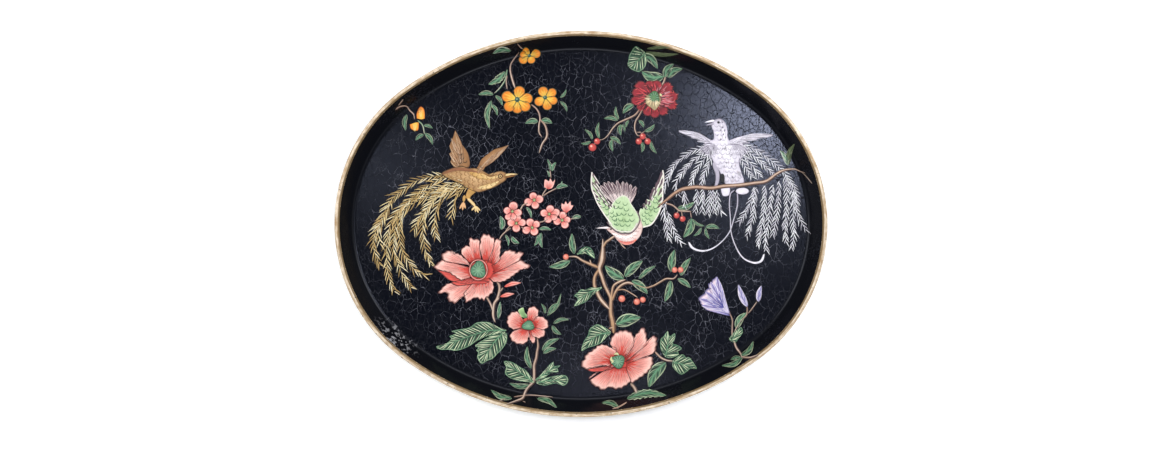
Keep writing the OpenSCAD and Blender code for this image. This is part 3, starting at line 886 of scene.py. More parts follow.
def finishSweep(piece, material, node, sharp=35):
    bpy.ops.mesh.select_all(action="SELECT")
    bpy.ops.mesh.normals_make_consistent(inside=False)
    bpy.ops.object.mode_set(mode="OBJECT")
    bpy.ops.object.transform_apply(location=True, rotation=True, scale=True)
    bpy.ops.object.shade_smooth_by_angle(angle=math.radians(sharp))
    piece.data.materials.append(material)
    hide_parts(node)
    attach(piece, "root")
    print(piece.name, len(piece.data.polygons), "faces")


rollStart = pan["wallAngle"] + math.pi / 2
rollEnd = pan["wallAngle"] - math.pi + pan["rollGap"]
coveEnd = pan["wallAngle"] - math.pi / 2
coveOuter = pan["coveRadius"] + pan["sheet"]
gildOuter = rollOuter + pan["gilding"]

trayPan = sweepSection(
    "trayPan",
    arcPoints(coveMiddle, pan["coveRadius"], -math.pi / 2, coveEnd, pan["coveSteps"])
    + arcPoints(rollMiddle, rollOuter, rollStart, rollEnd, pan["rollSteps"])
    + arcPoints(rollMiddle, rollInner, rollEnd, rollStart, pan["rollSteps"])
    + arcPoints(coveMiddle, coveOuter, coveEnd, -math.pi / 2, pan["coveSteps"]),
)
closeFlat(trayPan, (pan["sheet"], 0.0))
finishSweep(trayPan, blackLacquer, "tray_pan")

rimWire = sweepSection("rimWire", arcPoints(
    rollMiddle, pan["wireRadius"], 0, 2 * math.pi * (1 - 1 / pan["wireSteps"]), pan["wireSteps"] - 1,
), closed=True)
finishSweep(rimWire, drawnSteel, "rim_wire")

gildSection = arcPoints(rollMiddle, gildOuter, rollStart, rollEnd, pan["rollSteps"])
rimGilding = sweepSection(
    "rimGilding",
    gildSection + arcPoints(rollMiddle, rollOuter, rollEnd, rollStart, pan["rollSteps"]),
    closed=True,
)
finishSweep(rimGilding, rimGold, "rim_gilding", 60)


def markRound(piece):  # brush coordinates in metres: along the rim, and across the gilding
    marks = piece.data.uv_layers.new(name="round")
    total, meanRadius = 2 * math.pi, 0.22
    for face in piece.data.polygons:
        turns = []
        for corner in face.loop_indices:
            x, y, z = piece.data.vertices[piece.data.loops[corner].vertex_index].co
            turn = math.atan2(y, x) % total
            inset, _, _ = insetAt(x / mm, y / mm)
            angle = math.atan2(z / mm - rollMiddle[1], -inset - rollMiddle[0])
            turns.append((corner, turn, (rollStart - angle) % total * gildOuter * mm))
        wraps = max(t[1] for t in turns) - min(t[1] for t in turns) > math.pi
        for corner, turn, across in turns:
            way = turn + (total if wraps and turn < math.pi else 0.0)
            marks.data[corner].uv = (way * meanRadius, across)


markRound(rimGilding)

bpy.ops.object.select_all(action="DESELECT")
crackleFloor = sweepSection("crackleFloor", [(coveMiddle[0], pan["sheet"]), (coveMiddle[0], floorTop)])
closeFlat(crackleFloor, (pan["sheet"], floorTop))
finishSweep(crackleFloor, crackleLacquer, "crackle_lacquer")


# the painting, motif by motif, in millimetres from the middle of the tray

leafLook = tints(dark="061a12", light="1a4a32", edge="cfdcb2", vein="5f8f6a")
paleLeaf = dict(leafLook, light=paint("356a4c"), dark=paint("0c2a1d"), edge=paint("e6ead0"))
wallLeaf = dict(
    leafLook, light=paint("4f5f3c"), dark=paint("23351f"), edge=paint("7d8560"), vein=paint("66724c"),
)
bigLeaf = dict(leafLook, light=paint("25583c"), edge=paint("d6e2ba"))
twigLook = tints(dark="523a33", light="a98a76", pale="cbb5a3")
berryLook = tints(base="cf5046", tip="98201f", edge="4a1012")
berryLight = tints(base="f6c6b6", tip="dd7a68")


def sprig(layer, leaves, look, level=1):  # leaves as (base, tip, width), bent to either side in turn
    for i, (base, tip, width) in enumerate(leaves):
        layer.leaf(base, tip, width, look, 0.12 if i % 2 else -0.12, 0, level)


def twig(layer, path, width, level=1, light=twigLook["light"], dark=twigLook["dark"]):
    layer.stroke(path, width, dark, level=level, taper=(0.08, 0.15))
    thin = [w * 0.5 for w in width] if isinstance(width, (tuple, list)) else width * 0.5
    layer.stroke(
        [(x - 0.25, y + 0.25) for x, y in path], thin, light, twigLook["pale"], level=level + 1, edge=light,
        taper=(0.1, 0.2),
    )


def twigPiece(name, node, strokes, **tones):  # a piece painted with nothing but twigs
    layer = PaintLayer(name)
    for path, width in strokes:
        twig(layer, path, width, **tones)
    layer.finish("twig_paint", node)


def berries(layer, places, look=berryLook):  # each with a small light on its upper left
    for x, y, radius in places:
        layer.dab((x, y), radius, look, 3)
        layer.dab((x - radius * 0.3, y + radius * 0.3), radius * 0.32, berryLight, 6)


# gold bird, at the left

goldBird = {
    "body": [
        (-75, 51), (-80, 53), (-86, 52), (-90, 49), (-98, 53), (-106, 56), (-113, 56), (-120, 58),
        (-130, 56), (-140, 51), (-134, 46), (-124, 42), (-116, 37), (-107, 33), (-102, 32), (-95, 34),
        (-87, 37), (-80, 41), (-75, 45),
    ],
    "upWing": [
        (-126, 94), (-123, 84), (-118, 78), (-114, 72), (-112, 65), (-112, 58), (-118, 55), (-127, 57),
        (-131, 63), (-130, 66), (-132, 70), (-130, 74), (-132, 78), (-130, 84), (-128, 89),
    ],
    "foreWing": [
        (-73, 79), (-80, 77), (-87, 75), (-94, 70), (-100, 65), (-103, 59), (-106, 53), (-100, 51),
        (-99, 54), (-96, 61), (-90, 66), (-87, 70), (-80, 74),
    ],
    "plumes": [
        [
            (-122, 50), (-139, 49), (-153, 47), (-168, 42), (-179, 34), (-189, 26), (-196, 15), (-201, 4),
            (-206, -7), (-209, -19), (-206, -32), (-202, -40),
        ],
        [
            (-122, 47), (-138, 46), (-153, 39), (-167, 29), (-179, 18), (-188, 7), (-193, -6), (-195, -20),
            (-195, -35), (-194, -48), (-191, -59), (-188, -66),
        ],
        [
            (-120, 43), (-140, 38), (-160, 30), (-174, 22), (-182, 13.6), (-186, -1), (-188, -15),
            (-188, -28), (-183, -41), (-179, -52), (-171, -63),
        ],
        [
            (-120, 41), (-140, 34), (-160, 25), (-174, 17), (-180, 9), (-182, -4), (-182, -17), (-179, -29),
            (-172, -40), (-166, -47), (-158, -51),
        ],
        [
            (-118, 40), (-132, 35), (-145, 28), (-153, 19), (-157, 9), (-159, -4), (-158, -16), (-156, -27),
            (-151, -39),
        ],
        [(-145, 29), (-153, 16), (-162, 7), (-167, -4)],
        [(-116, 39), (-128, 34), (-139, 27), (-145, 16), (-147, 5), (-147, -4), (-146, -11.7)],
        [(-114, 38), (-125, 29), (-128, 18), (-130, 8)], [(-190, 22), (-203, -4), (-202, -18)],
    ],
    "gold": paint("c0924f"), "pale": paint("e3c58c"), "deep": paint("8a5c2c"), "line": paint("3a2412"),
}
goldFill = tints(base="d0aa78", tip="a47a4c", edge="6a4626")
plumeGold = {"root": paint("8f7238"), "barbs": [
    paint("e6d19c"), paint("d0b074"), paint("f5e8c0"), paint("a98a52"),
]}

layer = PaintLayer("goldBirdPlumes")
for number, path in enumerate(goldBird["plumes"]):
    plume(layer, path, (6, 10, 11, 11, 10, 8), plumeGold, level=1 + number % 3 * 2, gap=4.8, wide=0.5)
layer.finish("gold_paint", "gold_bird_plumes")

layer = PaintLayer("goldBirdWings")
feather = tints(dark="a07650", light="d9b48c", edge="54341c", vein="7a5230")
paleFeather = dict(feather, dark=paint("b98f6c"), light=paint("e8c9a8"))
for name in ("upWing", "foreWing"):
    layer.fill(goldBird[name], tints(base="b98a5c", tip="8a6038", edge="54341c"), 1)
for number, (root, tip, width) in enumerate((
    ((-119, 60), (-126, 93), 6.5), ((-121, 60), (-130, 86), 6), ((-122, 59), (-132, 79), 5.5),
    ((-123, 58), (-132, 71), 5), ((-124, 57), (-131, 63), 4.5), ((-104, 54), (-73, 79), 4.6),
    ((-104, 53), (-81, 75), 4), ((-104, 52), (-88, 70), 4), ((-104, 51), (-94, 63), 4),
)):
    layer.leaf(root, tip, width, paleFeather if number % 2 else feather, -0.03, 0, 2 + number % 5 * 1.5)
scales(layer, [
    (-112, 56), (-112, 65), (-114, 71), (-119, 77), (-124, 73), (-125, 64), (-122, 56),
], 4.6, -1.5, goldBird["line"], 11, 0.6)
scales(layer, [
    (-106, 53), (-103, 60), (-96, 67), (-94, 62), (-99, 55), (-101, 50),
], 3.6, -2.4, goldBird["line"], 11, 0.5)
layer.finish("gold_paint", "gold_bird_wings")

layer = PaintLayer("goldBirdBody")
layer.stroke([(-109, 35), (-113, 29), (-114, 25)], (9, 6, 4), goldBird["gold"], level=3, taper=(0, 0.1))
layer.stroke([(-114, 26), (-110, 22), (-106, 17.7)], 3.2, goldBird["pale"], level=3, edge=goldBird["deep"])
for tip in ((-101, 13.3), (-103, 11.2), (-106, 11.8), (-110, 13.6)):
    layer.stroke(
        [(-106, 18), ((tip[0] - 106) / 2, tip[1] / 2 + 9), tip], 2.1, goldBird["pale"], level=4,
        edge=goldBird["deep"],
    )
layer.stroke([(-117, 29), (-118, 22)], 3, goldBird["gold"], level=3)
for tip in ((-122, 15), (-119, 13.8), (-116, 15.4)):
    layer.stroke([(-118, 22), tip], 2.2, paint("d9a878"), level=4, edge=goldBird["deep"])
layer.fill(goldBird["body"], goldFill, 3)
layer.outline(goldBird["body"], 0.6, goldBird["line"], 5, closed=True)
layer.stroke(
    [(-112, 52), (-100, 48), (-88, 47), (-80, 49)], (5, 6, 5, 3), goldBird["gold"], goldBird["pale"],
    level=5, edge=goldBird["gold"],
)
layer.stroke(
    [(-104, 36), (-92, 38), (-82, 43)], (3, 5, 3), goldBird["pale"], level=5, edge=goldBird["gold"],
)
scales(layer, goldBird["body"], 4.4, math.pi, goldBird["deep"], 8, 0.5)
layer.stroke(
    [(-76, 49), (-70, 50), (-63, 50)], (3.2, 2.0, 0.7), goldBird["pale"], level=6, edge=goldBird["line"],
)
layer.stroke(
    [(-76, 47), (-70, 48), (-65, 49)], (2.4, 1.6, 0.6), goldBird["deep"], level=6, edge=goldBird["line"],
)
layer.stroke(
    [(-140, 50), (-126, 55), (-112, 54), (-101, 51)], (1.5, 3.4, 3, 1), paint("8e5c3c"), level=8,
    crown=0.04,
)
layer.stroke([(-98, 51), (-91, 48), (-84, 50)], (1, 1.6, 0.8), goldBird["deep"], level=8, crown=0.03)
layer.dab((-81, 48), 2.5, {"base": goldBird["line"], "tip": goldBird["line"], "edge": goldBird["deep"]}, 10)
layer.dab((-81, 48), 1.5, tints(base="e9c98e", tip="d9b070"), 12)
layer.dab((-81, 48), 0.8, tints(base="100c08", tip="100c08"), 14)
for number in range(46):  # plumes that begin over the flank
    x, y = dice.uniform(-140, -108), dice.uniform(33, 48)
    if y < 29 - (x + 108) * 0.55:
        turn = dice.uniform(-0.35, 0.35)
        reach = dice.uniform(7, 12)
        end = (x - reach * math.cos(0.5 + turn), y - reach * math.sin(0.5 + turn))
        layer.stroke(
            [(x, y), end], 0.85, dice.choice(plumeGold["barbs"]), goldBird["pale"], level=10, crown=0.04,
            taper=(0.3, 0.5),
        )
layer.finish("gold_paint", "gold_bird_body")

# silver bird, at the right

silverBird = {
    "body": [
        (138, 106), (143, 104), (146, 99), (147, 93), (147, 88), (150, 83), (159, 83), (165, 76), (161, 66),
        (159, 60), (161, 52), (164, 42), (160, 38), (150, 36), (145, 40), (140, 51), (134, 60), (130, 70),
        (128, 83), (133, 85), (133, 93), (131, 98), (132, 103),
    ],
    "leftWing": [
        (98, 93), (105, 94), (112, 92), (122, 88), (131, 84), (134, 79), (130, 77), (125, 82), (116, 86),
        (107, 89),
    ],
    "rightWing": [
        (193, 89), (187, 90), (180, 90), (172, 90), (165, 89), (154, 86), (146, 82), (147, 77), (157, 82),
        (163, 84), (170, 84), (180, 86), (187, 87),
    ],
    "leftPlumes": [
        [(131, 80), (125, 77), (112, 73), (100, 65), (92, 57), (87, 46), (82, 33)],
        [(132, 78), (117, 67), (107, 58), (100, 49), (95, 40), (97, 31)],
        [(133, 76), (122, 63), (114, 51), (110, 40)], [(134, 74), (126, 56), (122, 46), (121, 39)],
        [(117, 35), (116, 24), (115, 13.7)], [(123, 35), (122, 24), (122, 14)],
        [(130, 35), (129, 24), (128, 11.4)], [(137, 33), (138, 19), (141, 12.5)],
        [(133, 34), (133, 22), (134, 13)], [(86, 25), (83, 13.7), (86, -3), (88, -13.5)],
        [(87, 12), (92, -3.3), (97, -14.7), (100, -18)], [(103, 34), (104, 26), (104, 20)],
    ],
    "rightPlumes": [
        [(155, 84), (162, 80), (176, 74), (188, 66), (199, 57), (208, 46), (215, 35), (217, 24)],
        [(155, 82), (159, 78), (174, 68), (184, 59), (193, 50)],
        [(155, 79), (159, 73), (171, 60), (179, 49)], [(158, 70), (165, 58), (171, 48)],
        [(174, 36), (171, 24), (166, 12.5), (160, 3.5)], [(176, 36), (174, 19), (172, 5.7), (167, -10)],
        [(185, 38), (184, 19), (182, 2), (179, -12.4), (178, -20)],
        [(193, 38), (190, 19), (188, 1), (185, -14.7), (186, -25)],
        [(199, 42), (198, 24), (196, 5.7), (193, -9)],
        [(205, 46), (207, 31), (206, 12.5), (205, -3), (206, -17)],
        [(210, 42), (213, 24), (213, 5.7), (214, -10), (212, -22)],
        [(214, 33), (216, 17), (220, 4.6), (225, -4.5)],
    ],
    "ribbons": [
        [
            (154, 34), (150, 30), (149, 19), (150, 5.7), (151, -10), (157, -26), (164, -35), (174, -39),
            (181, -37), (184, -30),
        ],
        [
            (157, 31), (157, 19), (153, 3.5), (149, -8), (141, -18), (131, -25), (121, -27), (112, -24),
            (108, -18),
        ],
    ],
    "white": paint("ebe6ee"), "grey": paint("aaa3b1"), "line": paint("4d4756"),
}
silverFill = tints(base="f2eef3", tip="cdc6d2", edge="948c9c")
plumeSilver = {"root": paint("b9b5bf"), "barbs": [
    paint("fbfafc"), paint("dedbe1"), paint("ffffff"), paint("c6c2cb"),
]}

layer = PaintLayer("silverBirdPlumes")
for number, path in enumerate(silverBird["leftPlumes"] + silverBird["rightPlumes"]):
    plume(layer, path, (6, 8, 8, 8, 6), plumeSilver, level=1 + number % 3 * 2, gap=4.2, lean=0.6, wide=0.4)
layer.finish("silver_paint", "silver_bird_plumes")

layer = PaintLayer("silverBirdWings")
silverVane = {
    "dark": silverBird["grey"], "light": silverBird["white"], "edge": silverBird["white"],
    "vein": silverBird["line"],
}
silverCovert = dict(silverVane, edge=silverBird["grey"])
for name, side, root in (("leftWing", -1, (134, 80)), ("rightWing", 1, (148, 80))):
    outline = silverBird[name]
    layer.fill(outline, silverFill, 2)
    tip = outline[0]
    for number in range(5):
        share = 1 - number * 0.17
        x, y = along(root, tip, share)
        end = (x, y - number * 1.4 + 1)
        layer.leaf(root, end, 3.4, silverVane, 0.08 * side, 0, 3 + number)
for side, root in ((-1, (134, 80)), (1, (154, 80))):  # coverts that spread from the shoulders
    for number in range(10):
        turn = math.radians(205 + 12 * number if side < 0 else -25 - 12 * number)
        reach = 17 - 0.6 * number
        tip = (root[0] + reach * math.cos(turn), root[1] + reach * math.sin(turn))
        layer.leaf(root, tip, 3.4, silverCovert, 0.08 * side, 0, 4)
layer.finish("silver_paint", "silver_bird_wings")

layer = PaintLayer("silverBirdBody")
layer.fill([(141, 37), (149, 37), (149, 30), (146, 28), (142, 29)], silverFill, 3)
layer.dab((162, 33), 6.6, tints(base="efeaf0", tip="cfc8d2"), 3, aspect=0.5)
layer.stroke([(133, 62), (137, 50), (136, 40), (132, 35)], (5, 4, 3), silverBird["grey"], level=4)
layer.fill(silverBird["body"], silverFill, 5)
layer.dab((142, 46), 2.3, tints(base="0d0e13", tip="0d0e13"), 10, aspect=2.0)
layer.stroke(
    [(134, 104), (129, 103), (124, 102)], (3.2, 2.2, 0.8), silverBird["white"], level=7,
    edge=silverBird["line"],
)
layer.stroke(
    [(134, 101), (129, 100), (125, 99)], (2.6, 1.7, 0.6), silverBird["grey"], level=7,
    edge=silverBird["line"],
)
layer.stroke(
    [(141, 100), (143, 92), (144, 84)], (2, 3.5, 5), silverBird["white"], level=9, edge=silverBird["grey"],
)
scales(layer, silverBird["body"], 4.6, -math.pi / 2, silverBird["grey"], 10, 0.5)
for x, y, wide in (
    (142, 97, 1.5), (144, 94, 1.2), (140, 94, 1.1), (143, 90, 1.4), (137, 89, 1.0), (145, 87, 1.1),
    (140, 85, 1.2), (142, 102, 1.0),
):
    layer.dab(
        (x, y), wide, {"base": silverBird["line"], "tip": silverBird["grey"]}, 12, aspect=0.55, turn=1.1,
        sides=8,
    )
layer.dab((138, 102), 1.3, tints(base="1b1820", tip="2c2732"), 12)
for number in range(40):  # soft darker ticks over the breast
    x, y = dice.uniform(132, 160), dice.uniform(42, 80)
    if inside(x, y, silverBird["body"]):
        tone = silverBird["line"] if number % 3 else paint("cdb9c0")
        layer.stroke([
            (x, y), (x + dice.uniform(-1.5, 1.5), y - dice.uniform(1.5, 4)),
        ], 0.5, tone, level=12, crown=0.02)
layer.finish("silver_paint", "silver_bird_body")

layer = PaintLayer("silverBirdRibbons")
for path in silverBird["ribbons"]:
    layer.stroke(
        path, (1.3, 1.0, 1.0, 1.4, 2.6), silverBird["grey"], silverBird["white"], level=4,
        taper=(0.02, 0.05),
    )
layer.finish("silver_paint", "silver_bird_ribbons")

# green bird, in the middle

greenBird = {
    "leftWing": [
        (11, 52), (10.3, 43), (11, 35), (13.3, 29), (16, 22), (21, 13.3), (26, 6), (31, -1), (38, -2),
        (40, 6), (38, 14), (34, 18), (33, 19.5), (31, 16.5), (29, 22), (27, 20), (25, 26), (22, 24),
        (21, 32), (18.3, 30), (16.7, 38), (14.8, 36), (13.2, 44),
    ],
    "rightWing": [
        (82, 54), (83, 47), (82, 37), (82, 28), (81, 21), (79, 13.3), (75, 5.3), (70, -0.7), (62, -3.3),
        (59, 4), (58, 10), (60, 15.7), (62, 13.5), (63, 21), (65, 19), (66, 25), (69, 24), (71, 32),
        (72, 30), (73, 37), (76, 36), (77, 43), (79, 46),
    ],
    "back": [
        (29, -2), (35, -6.7), (40, -8.7), (49, -8.7), (53, -5.7), (57, 0), (59, 5.3), (57, 10), (54, 15),
        (50, 21), (47, 27), (42, 29), (36, 26), (31, 20), (28, 12), (27, 5),
    ],
    "breast": [
        (25, -2.2), (26, -5.7), (30, -9.3), (33, -12), (36, -16), (40, -19.3), (45, -21), (51, -19.3),
        (56, -16), (60, -10.7), (62, -3.3), (61, 1.3), (59, 6), (57, 0), (53, -5), (49, -8), (40, -8),
        (35, -6),
    ],
    "tailTips": [
        (19.3, 39), (23, 42), (27, 43), (31, 42), (36, 44), (42, 43), (46, 42), (50, 40), (55, 38),
    ],
    "green": paint("a3bf8b"), "mark": paint("3c6a44"), "cream": paint("e6dfd6"), "mauve": paint("59424a"),
}
wingFill = {"base": greenBird["green"], "tip": paint("b9cea2"), "edge": greenBird["cream"]}

layer = PaintLayer("greenBirdTail")
tailLook = {
    "dark": paint("d9c4c0"), "light": paint("efe2de"), "edge": paint("cbb0ae"), "vein": greenBird["mauve"],
}
for number, tip in enumerate(greenBird["tailTips"]):
    root = (39 + number * 0.9, 14)
    layer.leaf(root, tip, 6.0, tailLook, 0.0, 0, 1 + number % 2, swell=0.68)
    for lean in (-1.3, 0, 1.3):
        x, y = along(root, tip, 0.55)
        start = (x + lean, y)
        end = (tip[0] + lean * 1.2, tip[1] - abs(lean))
        layer.stroke([start, end], 1.0, greenBird["mauve"], level=5, taper=(0.6, 0.2), crown=0.03)
layer.finish("bird_green_paint", "green_bird_tail")

layer = PaintLayer("greenBirdWings")
for name, root in (("leftWing", (36, 0)), ("rightWing", (64, 0))):
    outline = greenBird[name]
    layer.fill(outline, wingFill, 4, towards=(31, 9) if name == "leftWing" else (70, 12))
    tips = [p for p in outline if p[1] > 18]
    for x, y in tips:  # dusky feather tips
        a = (x + (root[0] - x) * 0.02, y + (root[1] - y) * 0.02)
        b = (x + (root[0] - x) * 0.26, y + (root[1] - y) * 0.24)
        layer.stroke([b, a], 2.4, greenBird["mauve"], level=6, taper=(0.7, 0.1), crown=0.03)
        c = (b[0] + 1.5, b[1])
        layer.stroke(
            [c, (a[0] + 1.3, a[1] - 2)], 1.0, greenBird["cream"], level=7, taper=(0.5, 0.2), crown=0.03,
        )
    scales(
        layer, [p for p in outline if p[1] < 34], 4.4, math.radians(-60 if name == "leftWing" else -115),
        greenBird["mark"], 8, 0.7,
    )
layer.outline(greenBird["leftWing"][:8], 1.3, greenBird["cream"], 8)
layer.outline(greenBird["rightWing"][:9], 1.3, greenBird["cream"], 8)
layer.finish("bird_green_paint", "green_bird_wings")

layer = PaintLayer("greenBirdBody")
layer.fill(greenBird["breast"], tints(base="f3e3dd", tip="d8b9b1", edge="a98a84"), 5, towards=(50, -12))
layer.stroke(
    [(38, -16.8), (42, -18.6), (46, -19.4), (52, -17.8), (56, -14.6)], (1.5, 3, 3.4, 3, 1.2),
    paint("e8877a"), level=7, edge=paint("f3b7a8"),
)
for number in range(16):  # small red ticks along the belly
    x = 38 + number * 1.15
    y = -17.4 - 2.2 * math.sin(math.pi * number / 15)
    layer.stroke(
        [(x - 0.8, y), (x + 0.4, y + dice.uniform(1.2, 2.6))], 0.7, paint("c94a38"), level=9, crown=0.02,
    )
layer.stroke(
    [(31, -9), (38, -12.5), (47, -13.5), (56, -9)], (2, 4, 5, 3), paint("f5e9e4"), level=7,
    edge=paint("e8cfc8"),
)
layer.stroke(
    [(28, -3.8), (21, -3.8), (14.6, -4.3)], (3.2, 1.8, 0.6), paint("e6dcdc"), level=7,
    edge=greenBird["mauve"],
)
layer.dab((30, -5.2), 0.9, tints(base="1a1418", tip="3a2c30"), 9)
scales(layer, greenBird["breast"], 3.2, -math.pi / 2, paint("b98f88"), 9, 0.45)
layer.fill(greenBird["back"], wingFill, 6, towards=(43, 2))
scales(layer, greenBird["back"], 5.4, math.radians(-95), greenBird["mark"], 10, 0.6)
layer.outline([
    (26, 2), (30, -3), (35, -7.4), (40, -9.4), (49, -9.4), (54, -6), (58, 0), (59, 6), (56, 13),
], 1.1, greenBird["mauve"], 11)
layer.outline([
    (30, -1), (35, -5.6), (40, -7.4), (49, -7.4), (53, -4.6), (56, 1),
], 0.9, greenBird["cream"], 12)
layer.finish("bird_green_paint", "green_bird_body")

# yellow sprays, along the top

yellowFlowers = {
    "big": {"heart": (-64, 125, 2.6), "petals": [
        (-62, 133, 5.6), (-54, 126, 5.4), (-56, 118, 5.2), (-64, 116, 5), (-72, 118, 5.4), (-74, 128, 5.6),
    ]},
    "right": {"heart": (-36, 127, 2.1), "petals": [
        (-38, 133, 5), (-29, 132, 4.4), (-28, 124, 4.3), (-34, 119, 4.7), (-42, 123, 4.7),
    ]},
    "top": {"heart": (-52, 169, 1.7), "petals": [
        (-45, 171, 4.4), (-55, 173, 3.6), (-58, 170, 3.4), (-58, 165, 4.4), (-50, 165, 4),
    ]},
}
yellowPetal = {
    "base": paint("ecc644"), "middle": paint("e39818"), "tip": paint("d56a08"), "edge": paint("2e3f18"),
    "spread": 1.2, "streak": paint("f7df7a"),
}


def roundPetals(layer, centre, petals, look):  # simple rounded petals about a heart
    turned = sorted(petals, key=lambda p: math.atan2(p[1] - centre[1], p[0] - centre[0]))
    for one, two in zip(turned, turned[1:] + turned[:1]):
        x, y = (one[0] + two[0]) / 2 - centre[0], (one[1] + two[1]) / 2 - centre[1]
        reach = math.hypot(x, y)
        if reach > 2 and math.dist(one[:2], two[:2]) < one[2] + two[2] + 3:
            far = 1 + 0.35 * one[2] / reach
            path = [(centre[0] + x * 0.2, centre[1] + y * 0.2), (centre[0] + x * far, centre[1] + y * far)]
            layer.stroke(path, 0.62, look["edge"], level=10, crown=0.02, taper=(0, 0.4), spacing=2.5)
    for number, (x, y, radius) in enumerate(petals):
        away = math.atan2(y - centre[1], x - centre[0])
        fan = [
            (x + radius * math.cos(away + a) * (1.05 if abs(a) < 1 else 1), y + radius * math.sin(away + a))
            for a in (-2.3, -1.6, -0.8, 0, 0.8, 1.6, 2.3)
        ]
        height = 1 + number % 3 * 2
        layer.petal(centre, fan, look, height, spacing=1.5)
        layer.outline(smoothPath(fan, 1.5), 0.5, look["edge"], height + 1)
        veins(layer, centre, fan, look, 7, 0.4)


layer = PaintLayer("yellowBlossoms")
for entry in yellowFlowers.values():
    roundPetals(layer, entry["heart"][:2], entry["petals"], yellowPetal)
layer.finish("yellow_paint", "yellow_blossoms")

layer = PaintLayer("yellowBuds")
bud = tints(base="f7c348", tip="ea7c12", edge="a44c10")
layer.petal((-160, 105), [
    (-165, 106), (-165, 111), (-163, 116), (-161, 118), (-158, 116), (-157, 111), (-157, 106),
], bud)
layer.petal((-166, 102), [(-172, 100), (-171, 96), (-168, 94), (-164, 94), (-163, 98), (-163, 102)], bud)
for x, y in ((-161, 112), (-167, 98)):
    for lean in (-1.6, 0, 1.6):
        layer.stroke(
            [(x + lean * 0.3, y - 5), (x + lean, y + 3)], 0.5, paint("fbe08a"), level=4, crown=0.02,
        )
layer.finish("yellow_paint", "yellow_buds")

layer = PaintLayer("yellowTwigs")
for path, width in (
    ([(-63, 179), (-60, 176), (-58, 175)], 1.2),
    ([(-62, 172), (-66, 167), (-70, 161), (-71, 155), (-70, 149), (-68, 142), (-66, 136)], (1, 2, 3.4)),
    ([(-74, 149), (-75, 143), (-74, 135)], 1.5),
    ([(-50, 120), (-45, 116), (-42, 111), (-41, 105), (-42, 100), (-42, 92), (-39, 87)], 2),
    ([(-41, 105), (-36, 99), (-34, 91), (-35, 86), (-39, 80), (-42, 71)], (2.4, 2.6, 2)),
    ([(-185, 114), (-181, 117), (-175, 118), (-172, 114), (-168, 110), (-167, 105)], 1.6),
    ([(-182, 118), (-177, 124)], 1.0),
):
    twig(layer, path, width)
for path in ([(-74, 155), (-76, 145), (-81, 137), (-87, 131)], [(-164, 104), (-159, 99), (-157, 90)]):
    twig(layer, path, 1.6, light=paint("7fa27c"), dark=paint("2d5240"))
layer.finish("twig_paint", "yellow_twigs")

layer = PaintLayer("yellowLeaves")
layer.leaf((-76, 153), (-93, 140), 9, bigLeaf, 0.08, 6)
sprig(layer, [
    ((-88, 130), (-103, 130), 5), ((-86, 129), (-79, 119), 4), ((-90, 124), (-92, 96), 6),
    ((-90, 120), (-84, 109), 4), ((-43, 103), (-56, 101), 6), ((-40, 104), (-29, 101), 6),
], bigLeaf)
sprig(layer, [
    ((-21, 127), (-14.8, 135), 3), ((-21, 123), (-14, 113), 3.5), ((-175, 110), (-176, 94), 5),
    ((-158, 99), (-149, 96), 3.5), ((-158, 90), (-166, 84), 4.5), ((-157, 91), (-149, 80), 5),
], leafLook)
sprig(layer, [((-70, 173), (-88, 170), 5)], paleLeaf)
layer.finish("leaf_paint", "yellow_leaves")

# crimson flower and its spray, at the upper right

crimsonLobes = [
    (60, 138, 5.6), (69, 139, 5), (76, 139, 5.2), (86, 136, 6), (92, 128, 5), (91, 120, 5), (82, 114, 5),
    (74, 111, 4.6), (67, 113, 4.6), (61, 118, 5), (55, 124, 4.6), (56, 132, 4.6),
]
crimsonLook = tints(base="1e060a", middle="74121e", tip="9c1c2b", edge="2c070c", streak="c25a66")

layer = PaintLayer("crimsonRose")
roundPetals(layer, (73, 126), crimsonLobes, crimsonLook)
for number in range(420):
    angle = dice.uniform(0, 2 * math.pi)
    inner = dice.uniform(6.5, 14)
    outer = inner + dice.uniform(3, 7.5)
    stretch = 1.06 if abs(math.cos(angle)) > 0.6 else 0.86
    bright = dice.choice((paint("a81c2a"), paint("dc4a50"), paint("2c070e"), paint("520e18")))
    if math.cos(angle) > 0.35 and number % 3 == 0:
        bright = paint("cf8a92")
    a = (73 + inner * stretch * math.cos(angle), 126 + inner * 0.82 * math.sin(angle))
    b = (73 + outer * stretch * math.cos(angle + 0.06), 126 + outer * 0.8 * math.sin(angle + 0.06))
    layer.stroke([a, b], 0.7, bright, level=11, crown=0.02, taper=(0.4, 0.5), spacing=2.4)
for x, y, radius in crimsonLobes:
    away = math.atan2(y - 126, x - 73)
    for step in range(9):  # a frilled edge
        angle = away - 1.3 + step * 0.325
        c, s = math.cos(angle), math.sin(angle)
        inner, outer = radius * 0.62, radius * dice.uniform(0.94, 1.28)
        tone = (paint("c43a3a"), paint("7a1822"), paint("d65a54"))[step % 3]
        layer.stroke([
            (x + c * inner, y + s * inner), (x + c * outer, y + s * outer),
        ], 0.95, tone, level=12, crown=0.02, taper=(0.5, 0.3), spacing=2)
layer.finish("crimson_paint", "crimson_rose")

layer = PaintLayer("crimsonBerries")
berries(layer, [(62, 88, 3.2), (58, 83, 3.2), (67, 83, 3.2), (16.1, 83, 3.2), (11.5, 77, 4)])
layer.finish("crimson_paint", "crimson_berries")

